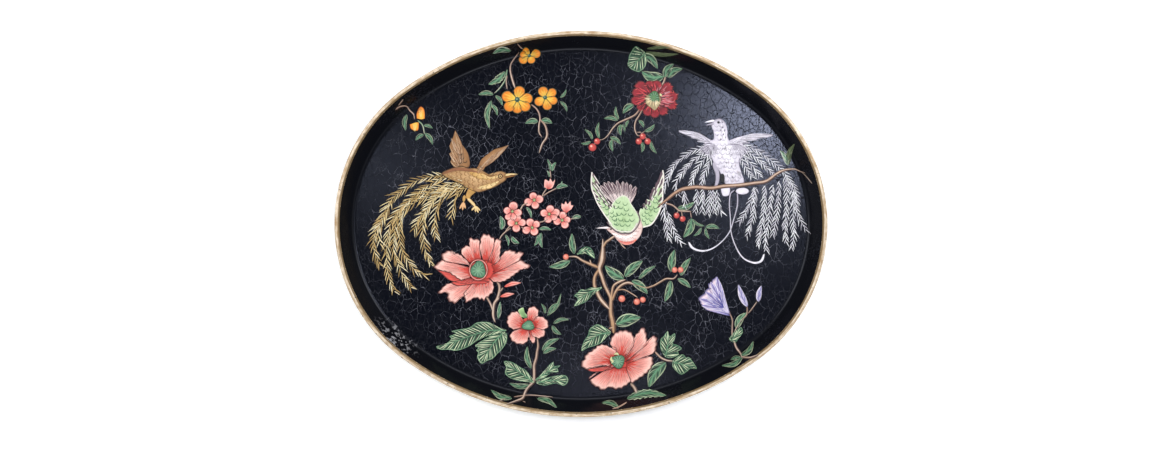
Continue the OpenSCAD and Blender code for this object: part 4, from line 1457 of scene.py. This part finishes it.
twigPiece("crimsonTwigs", "crimson_twigs", (
    ([(85, 148), (83, 142), (80, 138)], 2.5),
    ([
        (59, 115), (55, 110), (50, 107), (43, 104), (37, 101), (32, 96), (28, 90), (24, 86), (20, 84),
    ], (2.4, 2, 1.4)),
    ([(62, 115), (58, 108), (55, 103), (54, 96), (56, 90), (58, 88)], 1.8), ([(56, 92), (61, 92)], 1.2),
    ([(57, 89), (64, 87), (67, 85)], 1.1), ([(21, 85), (14.5, 82)], 1.1), ([(20, 84), (13, 80)], 1.1),
    ([(64, 93), (60, 90)], 1.1),
))

layer = PaintLayer("crimsonLeaves")
blade(layer, [
    (47, 160), (48, 165), (49, 170), (54, 177), (59, 175), (64, 172), (66, 165), (64, 158), (60, 154),
    (57, 153), (50, 156),
], [(64, 171), (58, 165), (50, 157)], bigLeaf)
for base, tip, width in (
    ((61, 170), (77, 156), 8.5), ((83, 148), (61, 153), 12.5), ((84, 147), (93, 161), 7.5),
    ((87, 147), (102, 156), 8),
):
    layer.leaf(base, tip, width, bigLeaf, 0.14, 0, 2)
layer.leaf((65, 172), (97, 169), 3.6, wallLeaf, -0.04)
layer.leaf((66, 175), (88, 175), 2.6, wallLeaf, 0.02)
sprig(layer, [
    ((53, 120), (42, 111), 7), ((38, 105), (35, 118), 3.5), ((37, 104), (23, 106), 4.5),
    ((18.4, 86), (18, 102), 4), ((11.5, 85), (3.8, 95), 3.5), ((10, 83), (0, 81), 3),
    ((40, 100), (40, 89), 5), ((41, 100), (44, 93), 2.5), ((48, 104), (45, 97), 3),
    ((29, 87), (40, 80), 4.5), ((31, 85), (32, 73), 4.5), ((58, 104), (63, 97), 4),
    ((64, 93), (74, 100), 4.5), ((61, 82), (61, 72), 4), ((70, 83), (76, 71), 4),
], leafLook)
layer.finish("leaf_paint", "crimson_leaves")

# pink blossom spray, between the gold and the green bird

pinkPetal = tints(base="cf4640", middle="e8887c", tip="f7c4b8", edge="7c2a28", streak="fbe0d8")
pinkFlowers = [
    (-47, 24, [(-48, 28, 3.8), (-42, 25, 4), (-46, 19, 3.8), (-53, 22, 4)]),
    (-69, 12.8, [(-68, 18, 4.4), (-74, 13.4, 3.6), (-63, 11.4, 3.6), (-73, 7.2, 3.4), (-68, 7, 3.4)]),
    (-65, 0.8, [(-64, 5.4, 3.8), (-70, 1.4, 3.8), (-59, 1.4, 3.6), (-65, -4.2, 3.9)]),
    (-49, -3.7, [(-51, 1.6, 4), (-45, -0.2, 3.6), (-47, -7.4, 4), (-55, -6.2, 3.8)]),
    (-32, 10, [(-31, 15, 4), (-25, 11.6, 3.8), (-37, 11, 3.7), (-33, 5, 3.9), (-27, 6.6, 3.2)]),
    (-18.9, 3.8, [(-18.3, 8.8, 3.8), (-13.8, 4.2, 3.2), (-16.2, -0.6, 3.8), (-24, 2.6, 3.6)]),
]
layer = PaintLayer("pinkBlossoms")
for x, y, petals in pinkFlowers:
    roundPetals(layer, (x, y), petals, pinkPetal)
layer.petal((-33, 35), [
    (-37, 37), (-37, 41), (-36, 45), (-32, 43), (-31, 46), (-28, 42), (-26, 45), (-27, 40), (-29, 36),
], pinkPetal)
layer.petal((-15.6, 10.8), [
    (-19.8, 16), (-19.4, 21), (-17, 19.6), (-15.4, 23), (-13.4, 20), (-10.6, 23), (-10, 19), (-7.6, 18.8),
    (-9.6, 15),
], pinkPetal)
for root, tips in (
    ((-33, 36), ((-36, 43), (-32, 43), (-28, 42))), ((-15.4, 12), ((-18.6, 19), (-15.2, 21), (-10.6, 19))),
):
    for tip in tips:
        layer.stroke([root, tip], 1.1, paint("b9473f"), pinkPetal["tip"], level=5, crown=0.03)
layer.finish("pink_paint", "pink_blossoms")

twigPiece("pinkTwigs", "pink_twigs", (
    ([(-53, 21), (-58, 18.8), (-61, 13.6), (-63, 12.4)], 1.9),
    ([(-70, -4), (-76, -8.2), (-80, -12.4), (-82, -16.6)], 1.6), ([(-43, 1.4), (-38, 2.4), (-33, 5)], 1.5),
    ([(-43, 22), (-39, 27), (-38, 30), (-34, 36)], 1.5), ([(-38, 28), (-32, 32), (-24, 36)], 1.4),
    ([(-30, 46), (-31, 54)], 1.4), ([(-76, -8), (-73, -4), (-70, -1)], 1.4), ([(-26, 3), (-29, 6)], 1.3),
    ([(-13.4, 3.6), (-8, 5.4), (-2, 7)], 1.3), ([(-16, 8), (-15.6, 12)], 1.3),
    ([(-56, -6), (-60, -3)], 1.3), ([(-46, -8), (-42, -6)], 1.2),
))

layer = PaintLayer("pinkLeaves")
sprig(layer, [
    ((-31, 54), (-34, 65), 3), ((-29, 53), (-25, 62), 4), ((-32, 47), (-34, 54), 2.4),
    ((-25, 36), (-13, 38), 5), ((-22, 37), (-19, 43), 2.4), ((-55, 17), (-50, 6), 3.2),
    ((-80, -5.8), (-81, 8.3), 6), ((-76, -11), (-73, -22), 3), ((-70, -13), (-62, -19.5), 5),
    ((-42, -5.2), (-30, -6), 4), ((-40, -8.8), (-39, -24), 5), ((-43, -11), (-47, -22), 4),
    ((0, 7.4), (-9.6, 5), 4.5),
], paleLeaf)
layer.finish("leaf_paint", "pink_leaves")

# the three peonies

peonyLook = {
    "frill": 1.3, "base": paint("8a1814"), "middle": paint("dc4d3c"), "tip": paint("f4c8ba"),
    "edge": paint("4a1613"), "streak": paint("f9c8ba"), "spread": 0.8,
}
lipLook = tints(base="7c1f1c", middle="b9382f", tip="d6564a", edge="3d1210", streak="e6887a")

leftPeony = [
    (((-110, -55), (-99, -57)), [
        (-130, -59), (-136, -61), (-143, -68), (-143, -70), (-135, -69), (-134, -75), (-133, -78),
        (-130, -78), (-127, -80), (-121, -74), (-116, -72),
    ]),
    (((-104, -54), (-93, -54)), [
        (-118, -70), (-116, -77), (-115, -79), (-110, -76), (-105, -74), (-102, -76), (-100, -75),
        (-98, -77), (-95, -74), (-92, -72), (-88, -67), (-88, -60), (-90, -57),
    ]),
    (((-105, -42), (-106, -50)), [
        (-137, -38), (-140, -32), (-136, -28), (-130, -27), (-127, -30), (-123, -30), (-119, -33),
        (-114, -37),
    ]),
    (((-107, -45), (-108, -52)), [
        (-140, -36), (-148, -43), (-146, -45), (-140, -47), (-134, -48), (-129, -51), (-120, -57),
    ]),
    (((-112, -39), (-100, -37)), [
        (-120, -30), (-120, -26), (-116, -22), (-112, -22), (-112, -16), (-110, -13.8), (-107, -16),
        (-104, -14.8), (-102, -17.6), (-102, -22),
    ]),
    (((-98, -38), (-90, -39)), [
        (-102, -24), (-101, -19.7), (-100, -12.7), (-98, -10.3), (-95, -11), (-93, -10.3), (-91, -12.7),
        (-88, -13.4), (-87, -17),
    ]),
    (((-94, -39), (-87, -42)), [(-87, -22), (-87, -19), (-85, -15.5), (-81, -16), (-81, -25), (-82, -34)]),
    (((-90, -42), (-88, -50)), [
        (-82, -37), (-79, -31), (-75, -27), (-72, -26), (-70, -27), (-67, -27), (-65, -30), (-62, -28),
        (-58, -29), (-60, -33), (-62, -37),
    ]),
    (((-89, -48), (-92, -54)), [
        (-60, -36), (-56, -39), (-51, -42), (-53, -44), (-59, -45), (-66, -50), (-73, -55), (-80, -58),
        (-88, -58),
    ]),
]
leftLip = [
    (((-112, -53), (-106, -56)), [(-145, -46), (-140, -50), (-133, -56), (-123, -59), (-116, -60)]),
    (((-112, -54), (-98, -57)), [
        (-131, -59), (-124, -62), (-115, -61), (-107, -60), (-98, -60), (-92, -58),
    ]),
]
bottomPeony = [
    (((29, -140), (44, -140)), [(7.7, -156), (9.6, -153), (18, -148), (24, -146)]),
    (((30, -143), (46, -143)), [
        (8.6, -157), (12.4, -162), (17, -164), (21, -167), (26, -165), (30, -164), (34, -166), (42, -164),
        (50, -158), (51, -152),
    ]),
    (((38, -134), (42, -134)), [
        (35, -124), (30, -122), (30, -117), (34, -110), (42, -107), (50, -109), (53, -116), (52, -125),
    ]),
    (((43, -136), (45, -138)), [
        (53, -122), (54, -113), (59, -108), (61, -104), (64, -106), (66, -116), (64, -122), (57, -129),
    ]),
    (((45, -138), (47, -140)), [
        (66, -121), (68, -118), (72, -113), (75, -113), (76, -119), (74, -128), (70, -131),
    ]),
    (((33, -134), (30, -141)), [
        (36, -127), (30, -124), (23, -121), (17, -122), (12.4, -126), (5, -131), (3, -136), (0, -140),
        (3, -145), (8.7, -145), (22, -142), (28, -143),
    ]),
    (((44, -138), (45, -144)), [
        (60, -134), (70, -133), (72, -137), (71, -143), (65, -150), (55, -157), (51, -160),
    ]),
]
bottomLip = [(((30, -142), (33, -144)), [(5.9, -146), (9.6, -148), (20, -148), (29, -146)]),
             (((46, -135), (50, -137)), [(52, -126), (58, -130), (64, -132), (70, -133)])]
smallPoppy = [
    (((-54, -98), (-49, -98)), [(-54, -92), (-53, -86), (-49, -83), (-44, -85), (-43, -90), (-45, -95)]),
    (((-48, -98), (-46, -104)), [
        (-45, -93), (-41, -93), (-36, -95), (-33, -100), (-34, -104), (-38, -106), (-43, -105),
    ]),
    (((-47, -104), (-51, -106)), [
        (-42, -105), (-37, -107), (-36, -110), (-40, -114), (-45, -114), (-49, -112),
    ]),
    (((-51, -106), (-54, -106)), [(-47, -112), (-46, -118), (-49, -119), (-51, -116), (-51, -111)]),
    (((-52, -106), (-58, -104)), [
        (-52, -111), (-54, -117), (-57, -120), (-64, -120), (-70, -116), (-71, -111), (-67, -107),
    ]),
    (((-58, -104), (-57, -98)), [
        (-68, -106), (-73, -102), (-74, -96), (-71, -90), (-65, -88), (-61, -91), (-59, -95),
    ]),
]

underRed = tints(base="a8241e", tip="d64a3c")

layer = PaintLayer("coralPeony")
layer.dab((-98, -47), 15, underRed, 1, aspect=0.7)
flower(layer, leftPeony[:2], peonyLook, 2)
flower(layer, leftLip, lipLook, 5)
flower(layer, leftPeony[2:], peonyLook, 7)
for path in ([(-77, -63), (-69, -60), (-60, -59)], [(-81, -73), (-74, -71), (-67, -70)]):
    layer.stroke(path, (2, 5, 1.6), paint("e7604e"), paint("f8c0b2"), level=2, edge=paint("5a1f1a"))
    layer.stroke(path, 0.7, paint("c83a30"), level=4)
layer.finish("coral_paint", "coral_peony")

layer = PaintLayer("smallPoppy")
layer.dab((-52, -101), 9, underRed, 1, aspect=0.8)
flower(layer, smallPoppy, peonyLook, 2)
layer.finish("coral_paint", "small_poppy")

layer = PaintLayer("palePeony")
layer.dab((38, -138), 14, underRed, 1, aspect=0.8)
flower(layer, bottomPeony[:2], peonyLook, 2)
flower(layer, bottomLip, lipLook, 5)
flower(layer, bottomPeony[2:], peonyLook, 7)
layer.finish("pink_paint", "pale_peony")

# green and dark hearts of all the flowers

heartLook = tints(base="7fa884", tip="3a6c4c", edge="12211a")
roseHeartLook = tints(base="5f8a5a", tip="446c40", edge="12211a")
hearts = {  # x, y, radius, height over width, look
    "coral": (-103, -46, 7.7, 1.13, heartLook),
    "poppy": (-53, -102, 6.4, 0.75, heartLook),
    "pale": (37, -138, 7.2, 0.95, heartLook),
    "rose": (73, 127, 6.6 * 0.94, 1.0, roseHeartLook),
}

layer = PaintLayer("flowerHearts")
for name, (x, y, radius, aspect, look) in hearts.items():
    if name == "coral":  # two rings round the heart
        for extra, wide, tone in ((1.9, 0.6, "7e2a24"), (1.1, 0.8, "e39a8d")):
            angles = [k * math.pi / 8 for k in range(17)]
            rim = [
                (x + (radius + extra) * math.cos(a), y + (radius + extra) * aspect * math.sin(a))
                for a in angles
            ]
            layer.outline(rim, wide, paint(tone), 15)
    if name == "rose":  # a cream patch, combed outwards
        layer.fill([
            (65, 126), (66, 120), (70, 117), (74, 114), (77, 117), (79, 120), (80, 126), (76, 131),
            (69, 131),
        ], tints(base="7c7c58", tip="a8926c", edge="7a4a34"), 14)
        for number in range(26):
            angle = math.radians(165 + number * 6)
            c, s = math.cos(angle), math.sin(angle)
            outer = dice.uniform(7.5, 11.5)
            tone = dice.choice((paint("dcc79c"), paint("a5906c"), paint("efdcb8")))
            layer.stroke(
                [(x + 3.4 * c, y + 3.4 * s), (x + outer * c, y + outer * s)], 0.8, tone, level=16,
                crown=0.02, taper=(0.3, 0.5), spacing=2.5,
            )
    layer.dab((x, y), radius, look, 15, aspect=aspect, wobble=0.12)
    reach = 6.6 if name == "rose" else radius
    for number in range(22):
        angle = number * 2 * math.pi / 22
        c, s = math.cos(angle) * reach, math.sin(angle) * aspect * reach
        tone = paint("1c4636") if number % 2 else paint("8fb59c")
        layer.stroke(
            [(x + c * 0.28, y + s * 0.28), (x + c * 0.88, y + s * 0.88)], 0.42, tone, level=18, crown=0.02,
            spacing=2.5,
        )
for path in (
    [(31, -133), (30, -136), (32, -138), (30, -140)], [(79, 131), (81, 128)],
    [(33, -131), (36, -130), (38, -132)],
):
    layer.stroke(path, (1.4, 2.6, 1.2), paint("d8c88e"), paint("c9d0a0"), level=18)
for entry in yellowFlowers.values():
    x, y, radius = entry["heart"]
    layer.dab((x, y), radius, tints(base="12201a", tip="2c5a48", edge="86a88c"), 9)
    layer.dab((x - 0.4, y + 0.4), radius * 0.4, tints(base="9db49b", tip="4a6a56"), 13, sides=8)
for x, y, _ in pinkFlowers:
    layer.dab((x, y), 1.7, tints(base="aebf86", tip="5f7d4e", edge="3a4a2c"), 9)
    for number in range(7):
        angle = number * 0.9
        layer.stroke([
            (x + 1.4 * math.cos(angle), y + 1.4 * math.sin(angle)),
            (x + 3.0 * math.cos(angle), y + 3.0 * math.sin(angle)),
        ], 0.35, paint("c2483e"), level=10, crown=0.01, spacing=2)
layer.finish("heart_paint", "flower_hearts")

# stems and leaves of the peonies

twigPiece("coralStem", "coral_stem", (
    ([
        (-85, -57), (-82, -62), (-82, -68), (-84, -75), (-87, -80), (-88, -86), (-88, -93), (-86, -99),
    ], (3.2, 3.6, 3)),
    ([(-95, -73), (-91, -80), (-88, -88)], 2.6), ([(-78, -64), (-81, -68)], 1.8),
    ([(-82, -74), (-84, -77)], 1.8),
))

layer = PaintLayer("coralLeaves")
layer.leaf((-83, -95), (-81, -78), 4.4, paleLeaf)
blade(
    layer,
    [
        (-75, -107), (-85, -103), (-92, -99), (-104, -99), (-110, -103), (-115, -105), (-122, -106),
        (-130, -108), (-125, -110), (-132, -113), (-130, -115), (-135, -120), (-145, -123), (-141, -126),
        (-132, -126), (-126, -127), (-118, -125), (-110, -121), (-106, -118), (-96, -113), (-86, -110),
    ],
    [(-76, -107), (-92, -107), (-110, -112), (-126, -118), (-142, -123)], bigLeaf, 3,
)
blade(layer, [
    (-82, -108), (-92, -113), (-106, -122), (-103, -124), (-105, -127), (-103, -129), (-104, -134),
    (-100, -140), (-94, -137), (-89, -135), (-83, -129), (-79, -125), (-75, -118), (-75, -110),
], [(-79, -110), (-88, -120), (-99, -137)], bigLeaf, 1)
layer.finish("leaf_paint", "coral_leaves")

twigPiece("smallPoppyStem", "small_poppy_stem", (
    ([
        (-44, -113), (-43, -122), (-44, -128), (-45, -135), (-47, -142), (-47, -148), (-47, -155),
        (-48, -159), (-53, -164), (-56, -169), (-58, -174), (-63, -176), (-74, -179),
    ], (2.2, 3.5, 3.5, 2)),
    ([(-67, -173), (-50, -172), (-28, -174)], 1.3), ([(-74, -174), (-81, -176)], 1.1),
    ([(-58, -177), (-55, -178)], 1.0),
))

layer = PaintLayer("smallPoppyLeaves")
layer.petal((-55, -95), [(-60, -93), (-63, -87), (-61, -85), (-58, -84), (-57, -88), (-54, -92)],
            {"base": paint("2c5a34"), "tip": paint("9dc07f"), "edge": leafLook["edge"]}, 12)
blade(layer, [
    (-47, -159), (-53, -150), (-57, -146), (-61, -144), (-69, -139), (-77, -138), (-75, -144), (-76, -150),
    (-70, -155), (-58, -158),
], [(-49, -158), (-60, -150), (-74, -141)], bigLeaf, 2)
blade(layer, [
    (-46, -157), (-38, -149), (-33, -143), (-28, -139), (-27, -143), (-21, -142), (-24, -145), (-23, -148),
    (-31, -150), (-38, -155),
], [(-45, -156), (-34, -149), (-23, -142)], bigLeaf, 2)
blade(layer, [(-45, -159), (-32, -154), (-16.7, -152), (-13, -157), (-17, -162), (-26, -160), (-37, -162)],
      [(-43, -159), (-30, -157), (-17, -158)], bigLeaf, 4)
for base, tip, width in (
    ((-50, -145), (-54, -123), 6), ((-39, -127), (-22, -115), 6), ((-38, -130), (-25, -125), 5),
    ((-51, -162), (-72, -160), 6), ((-69, -174), (-90, -166), 5), ((-44, -175), (-24, -183), 5),
):
    layer.leaf(base, tip, width, bigLeaf, 0.1, 0, 1)
sprig(layer, [
    ((-34, -92), (-20, -70), 3.4), ((-33, -91), (-22, -79), 4), ((-36, -90), (-40, -80), 3),
    ((-28, -100), (-12, -96), 4), ((-29, -102), (-20, -111), 5),
], leafLook)
layer.finish("leaf_paint", "small_poppy_leaves")

twigPiece("palePeonyStems", "pale_peony_stems", (
    ([(50, -160), (54, -165), (56, -170)], 4), ([(74, -128), (80, -134), (86, -137), (93, -138)], 2.5),
))

layer = PaintLayer("palePeonyLeaves")
blade(layer, [
    (83, -131), (80, -124), (80, -116), (83, -113), (87, -108), (89, -113), (94, -110), (94, -115),
    (92, -120), (97, -122), (101, -125), (97, -128), (98, -131), (92, -134), (86, -134),
], [(85, -132), (87, -122), (88, -112)], bigLeaf, 2)
blade(layer, [
    (92, -138), (96, -134), (102, -131), (105, -134), (108, -134), (111, -137), (116, -145), (110, -145),
    (106, -148), (101, -151), (96, -148), (92, -143),
], [(93, -139), (103, -141), (113, -144)], bigLeaf, 3)
layer.leaf((85, -139), (68, -164), 14, bigLeaf, -0.1, 0, 1)
layer.leaf((46, -175), (85, -171), 10, bigLeaf, 0.08, 7, 1)
sprig(layer, [((38, -183), (21, -179), 5)], leafLook)
layer.stroke([(46, -178), (38, -182), (31, -184)], 1.2, twigLook["light"], level=2)
layer.finish("leaf_paint", "pale_peony_leaves")

# the little tree under the green bird

twigPiece(
    "treeBranches", "tree_branches",
    (
        ([
            (33, -110), (32, -100), (30, -90), (30, -82), (30, -75), (28, -70), (24, -62), (21, -53),
            (18.5, -45), (21, -36), (22, -24), (22, -15),
        ], (7, 5.4, 4, 4.4, 7, 3)),
        ([(22, -24), (25, -18.6), (28, -16.3), (35, -11.4)], 3), ([(36, -12), (41, -21), (45, -25)], 1.6),
        ([(17.7, -44), (8.5, -40), (1.7, -37), (-5, -33), (-13.7, -33)], (4.4, 3, 1.5)),
        ([(11, -42), (9, -36)], 1.6),
        ([(18.6, -45), (14, -53), (13.5, -61), (16, -68), (20, -76), (29, -86)], (3.6, 4.4, 5)),
        ([(31, -76), (31, -70), (33, -62), (39, -58), (45, -56)], 3),
        ([(31, -78), (35, -68), (40, -62), (47, -59), (54, -61)], 3.2),
        ([(35, -67), (43, -66), (51, -70), (57, -74)], 1.5),
        ([(54, -61), (65, -64), (73, -62), (80, -58), (86, -55), (93, -55), (97, -51)], (1.6, 2.2, 2)),
        ([(34, -100), (36, -101)], 2), ([(28, -105), (33, -104)], 2.4),
    ),
    light=paint("a87f58"), dark=paint("55392a"),
)

layer = PaintLayer("treeBerries")
berries(layer, [(41, -75, 3.5), (56, -78, 3.3), (62, -76, 3), (94, -46, 3), (100, -46, 3), (-15.2, -33, 3)],
        look=tints(base="e79a80", tip="bb4a3a", edge="40150f"))
layer.finish("crimson_paint", "tree_berries")

layer = PaintLayer("treeLeaves")
blade(layer, [
    (21, -64), (14, -64), (10, -64), (5, -66), (0, -66), (-3, -69), (-6.5, -72), (-3, -75), (-6.5, -82),
    (0, -80), (4.5, -78), (9, -74), (13, -70),
], [(19, -65), (8, -69), (-4, -77)], bigLeaf)
blade(layer, [
    (-4, -31), (-1, -26), (5.6, -23), (11, -26), (13.4, -34), (8, -31), (2, -29),
], [(-3, -30), (5, -26), (12.4, -32)], bigLeaf)
for base, tip, width in (
    ((-6.5, -30), (-9, -9.5), 7), ((-10.8, -37), (-32, -43), 8), ((43, -55), (24, -42), 11),
    ((44, -53), (62, -37), 10), ((58, -55), (75, -42), 5), ((51, -57), (67, -70), 9),
    ((91, -48), (94, -26), 9), ((100, -52), (110, -34), 7), ((97, -55), (110, -64), 6),
    ((90, -57), (84, -78), 8), ((35, -101), (60, -94), 14),
):
    layer.leaf(base, tip, width, bigLeaf, 0.06, 0, 1)
blade(layer, [
    (30, -109), (24, -104), (17, -101), (12, -103), (8.7, -106), (7, -112), (3, -118), (0.7, -127),
    (7, -124), (14, -122), (20, -119), (25, -114),
], [(28, -109), (16, -112), (3, -123)], bigLeaf)
layer.finish("leaf_paint", "tree_leaves")

# the branch the silver bird sits on

layer = PaintLayer("perchBranch")
twig(layer, [
    (78, 18), (87, 25), (93, 30), (102, 35), (116, 37), (130, 36), (144, 38), (159, 39), (174, 41),
    (186, 43), (196, 50), (204, 54), (214, 55), (220, 53), (225, 51),
], (3.2, 4.2, 4, 3.6, 2), 9, paint("a98268"), paint("5f4233"))
twig(layer, [(84, 21), (92, 18.7), (97, 14.7), (100, 13), (111, 12.5)], 2, 2)
twig(layer, [(98, 13), (96, 10)], 1.2, 2)
twig(layer, [(101, 12.6), (102, 7)], 1.2, 2)
twig(layer, [(110, 12), (111, 6)], 1.2, 2)
twig(layer, [(221, 53), (226, 47), (231, 40)], 1.1, 2, paint("6b5a4c"), paint("33291f"))
layer.finish("twig_paint", "perch_branch")

layer = PaintLayer("perchLeaves")
sprig(layer, [
    ((97, 16), (114, 22), 6), ((111, 5.7), (103, -13.5), 9), ((111, 5), (124, -2), 3),
    ((125, -3.3), (139, -4.5), 5), ((125, -4), (129, -14.7), 3.4), ((121, -3.5), (113, -12), 3.4),
], bigLeaf, 3)
layer.leaf((208, 59), (200, 74), 6, dict(paleLeaf, light=paint("c4d3c0")), -0.08)
layer.leaf((208, 59), (213, 80), 6, wallLeaf, 0.08)
layer.finish("leaf_paint", "perch_leaves")

layer = PaintLayer("perchBerries")
berries(layer, [(96, 8.6, 3), (102, 5.2, 3)])
layer.finish("crimson_paint", "perch_berries")

# bluebells, at the lower right

bellLook = tints(base="6f74bb", middle="a99ac9", tip="f1d9dc", edge="5a5484", streak="d9cbe4")
layer = PaintLayer("bellflowers")
bells = [
    (((149, -88), (150, -90)), [
        (144, -74), (140, -68), (138, -62), (137, -53), (134, -55), (132, -56), (131, -60), (128, -60),
        (130, -68), (137, -78),
    ]),
    (((148, -90), (149, -91)), [
        (131, -64), (126, -66), (124, -70), (121, -72), (118, -75), (120, -78), (120, -80), (126, -83),
        (136, -86),
    ]),
    (((149, -91), (150, -92)), [(122, -82), (126, -86), (136, -89), (144, -91)]),
]
flower(layer, bells, bellLook, 1)
bellLeaf = tints(dark="8884bb", light="d2c8de", edge="f6ecee", vein="6a5a92")
for number, (tip, width) in enumerate((
    ((136, -53), 8.5), ((130, -58), 8), ((125, -68), 8), ((119, -75), 7.5), ((121, -82), 6.5),
)):
    layer.leaf((149, -90), tip, width, bellLeaf, 0.05 - 0.03 * number, 0, 8 + number, swell=0.6)
    for lean in (-1.2, 1.2):
        layer.stroke([
            (143, -84), ((143 + tip[0]) / 2 + lean, (tip[1] - 84) / 2 + lean),
        ], 0.5, paint("4c4a96"), level=16, crown=0.02)
for root, tip, width in (((167, -83), (158, -61), 7), ((178, -78), (181, -62), 6)):
    layer.leaf(root, tip, width, tints(
        dark="8c89b8", light="dcd2e0", edge="f6ecee", vein="6f6a9c",
    ), 0.05, 0, 2)
layer.finish("lilac_paint", "bellflowers")

twigPiece("bellflowerStems", "bellflower_stems", (
    ([
        (149, -87), (150, -91), (152, -96), (152, -104), (152, -111), (154, -118), (156, -124), (160, -130),
        (161, -134),
    ], (1.4, 1.6, 2.4, 3)),
    ([(167, -83), (167, -88), (166, -92), (161, -97), (156, -105), (154, -110)], 1.6),
    ([(168, -90), (172, -85), (177, -78)], 1.3), ([(160, -133), (168, -133), (176, -130)], (2.4, 1.6)),
))

layer = PaintLayer("bellflowerLeaves")
blade(layer, [
    (149, -116), (152, -111), (157, -106), (161, -104), (162, -109), (158, -115), (154, -119),
], [(151, -117), (156, -111), (160, -106)], bigLeaf)
layer.leaf((156, -105), (166, -89), 8, bigLeaf, 0.1)
sprig(layer, [
    ((160, -132), (173, -118), 5), ((161, -133), (141, -142), 5), ((161, -134), (150, -136), 3.4),
], leafLook, 2)
layer.finish("leaf_paint", "bellflower_leaves")


# floor, lights and camera

studio = {
    "cameraHeight": 1.62,
    "cameraSlide": (0.004, -0.001),
    "lens": 49.6,
    "skyLow": (0.62, 0.64, 0.66),
    "skyHigh": (0.02, 0.022, 0.028),
    "skyTurn": (0.55, 0.85),  # how far up the sky darkens
    "sensorWidth": 36.0,
    "clipEnd": 20.0,
    "floorSize": 6.0,
    "floorDrop": 0.0004,  # just clear of the underside
    "floorGlow": 0.22,
    "floorTone": paint("f7f7f6"),
}


def addLight(name, place, size, power, tint=(1.0, 1.0, 1.0), aim=(0.0, 0.0, 0.0)):
    bpy.ops.object.light_add(type="AREA", location=place)
    light = bpy.context.object
    light.name = name
    light.data.shape = "RECTANGLE"
    light.data.size, light.data.size_y = size
    light.data.energy = power
    light.data.color = tint
    away = [a - b for a, b in zip(place, aim)]
    light.rotation_euler = mathutils.Vector(away).to_track_quat("Z", "Y").to_euler()


bpy.ops.object.select_all(action="DESELECT")
bpy.ops.mesh.primitive_plane_add(size=studio["floorSize"], location=(0, 0, -studio["floorDrop"]))
tableTop = bpy.context.object
tableTop.name = "tableTop"
bpy.ops.object.transform_apply(location=True, rotation=True, scale=True)
whiteTable, start, place, connect = newMaterial("whiteTable", {
    "Roughness": 0.9, "Emission Color": (1.0, 1.0, 1.0, 1.0), "Emission Strength": studio["floorGlow"],
})
connect(Base_Color=start.tint(start.noise(place, 3.0), studio["floorTone"], paint("fbfbfa")))
tableTop.data.materials.append(whiteTable)

lamps = {  # place, size, power, then for some their tint and the point they face
    "windowLeft": ((-1.5, 0.5, 1.5), (1.2, 1.2), 22),
    "windowRight": ((1.5, 0.9, 1.4), (1.0, 1.2), 23),
    "windowTop": ((0.1, 1.7, 1.6), (1.6, 0.9), 19),
    "windowNear": ((0.0, -1.7, 1.6), (1.6, 0.9), 21),
    "sheenRight": ((0.38, 0.225, 1.7), (0.2, 0.16), 5.6, (0.82, 0.86, 1.0), (0.17, 0.1, 0)),
    "sheenNear": ((0.04, -0.345, 1.7), (0.3, 0.02), 0.5, (0.9, 0.9, 1.0), (0.02, -0.17, 0)),
    "sheenLeft": ((-0.44, 0.12, 1.7), (0.1, 0.2), 0.5, (0.85, 0.9, 1.0), (-0.2, 0.05, 0)),
}
for name, values in lamps.items():
    addLight(name, *values)

world = bpy.data.worlds.new("studioSky")
bpy.context.scene.world = world
world.use_nodes = True
sky = Flow(world.node_tree, None)
height = sky.node("ShaderNodeSeparateXYZ", {}, {"Vector": sky.node("ShaderNodeTexCoord", out=0)}, out=2)
dome = sky.tint(height.between(*studio["skyTurn"]), studio["skyLow"], studio["skyHigh"])
world.node_tree.links.new(dome.socket, world.node_tree.nodes["Background"].inputs["Color"])

bpy.ops.object.camera_add(location=(*studio["cameraSlide"], studio["cameraHeight"]))
camera = bpy.context.object
camera.data.lens = studio["lens"]
camera.data.sensor_width = studio["sensorWidth"]
camera.data.clip_end = studio["clipEnd"]
bpy.context.scene.camera = camera
bpy.context.scene.view_settings.view_transform = "Standard"

print("scene ready")
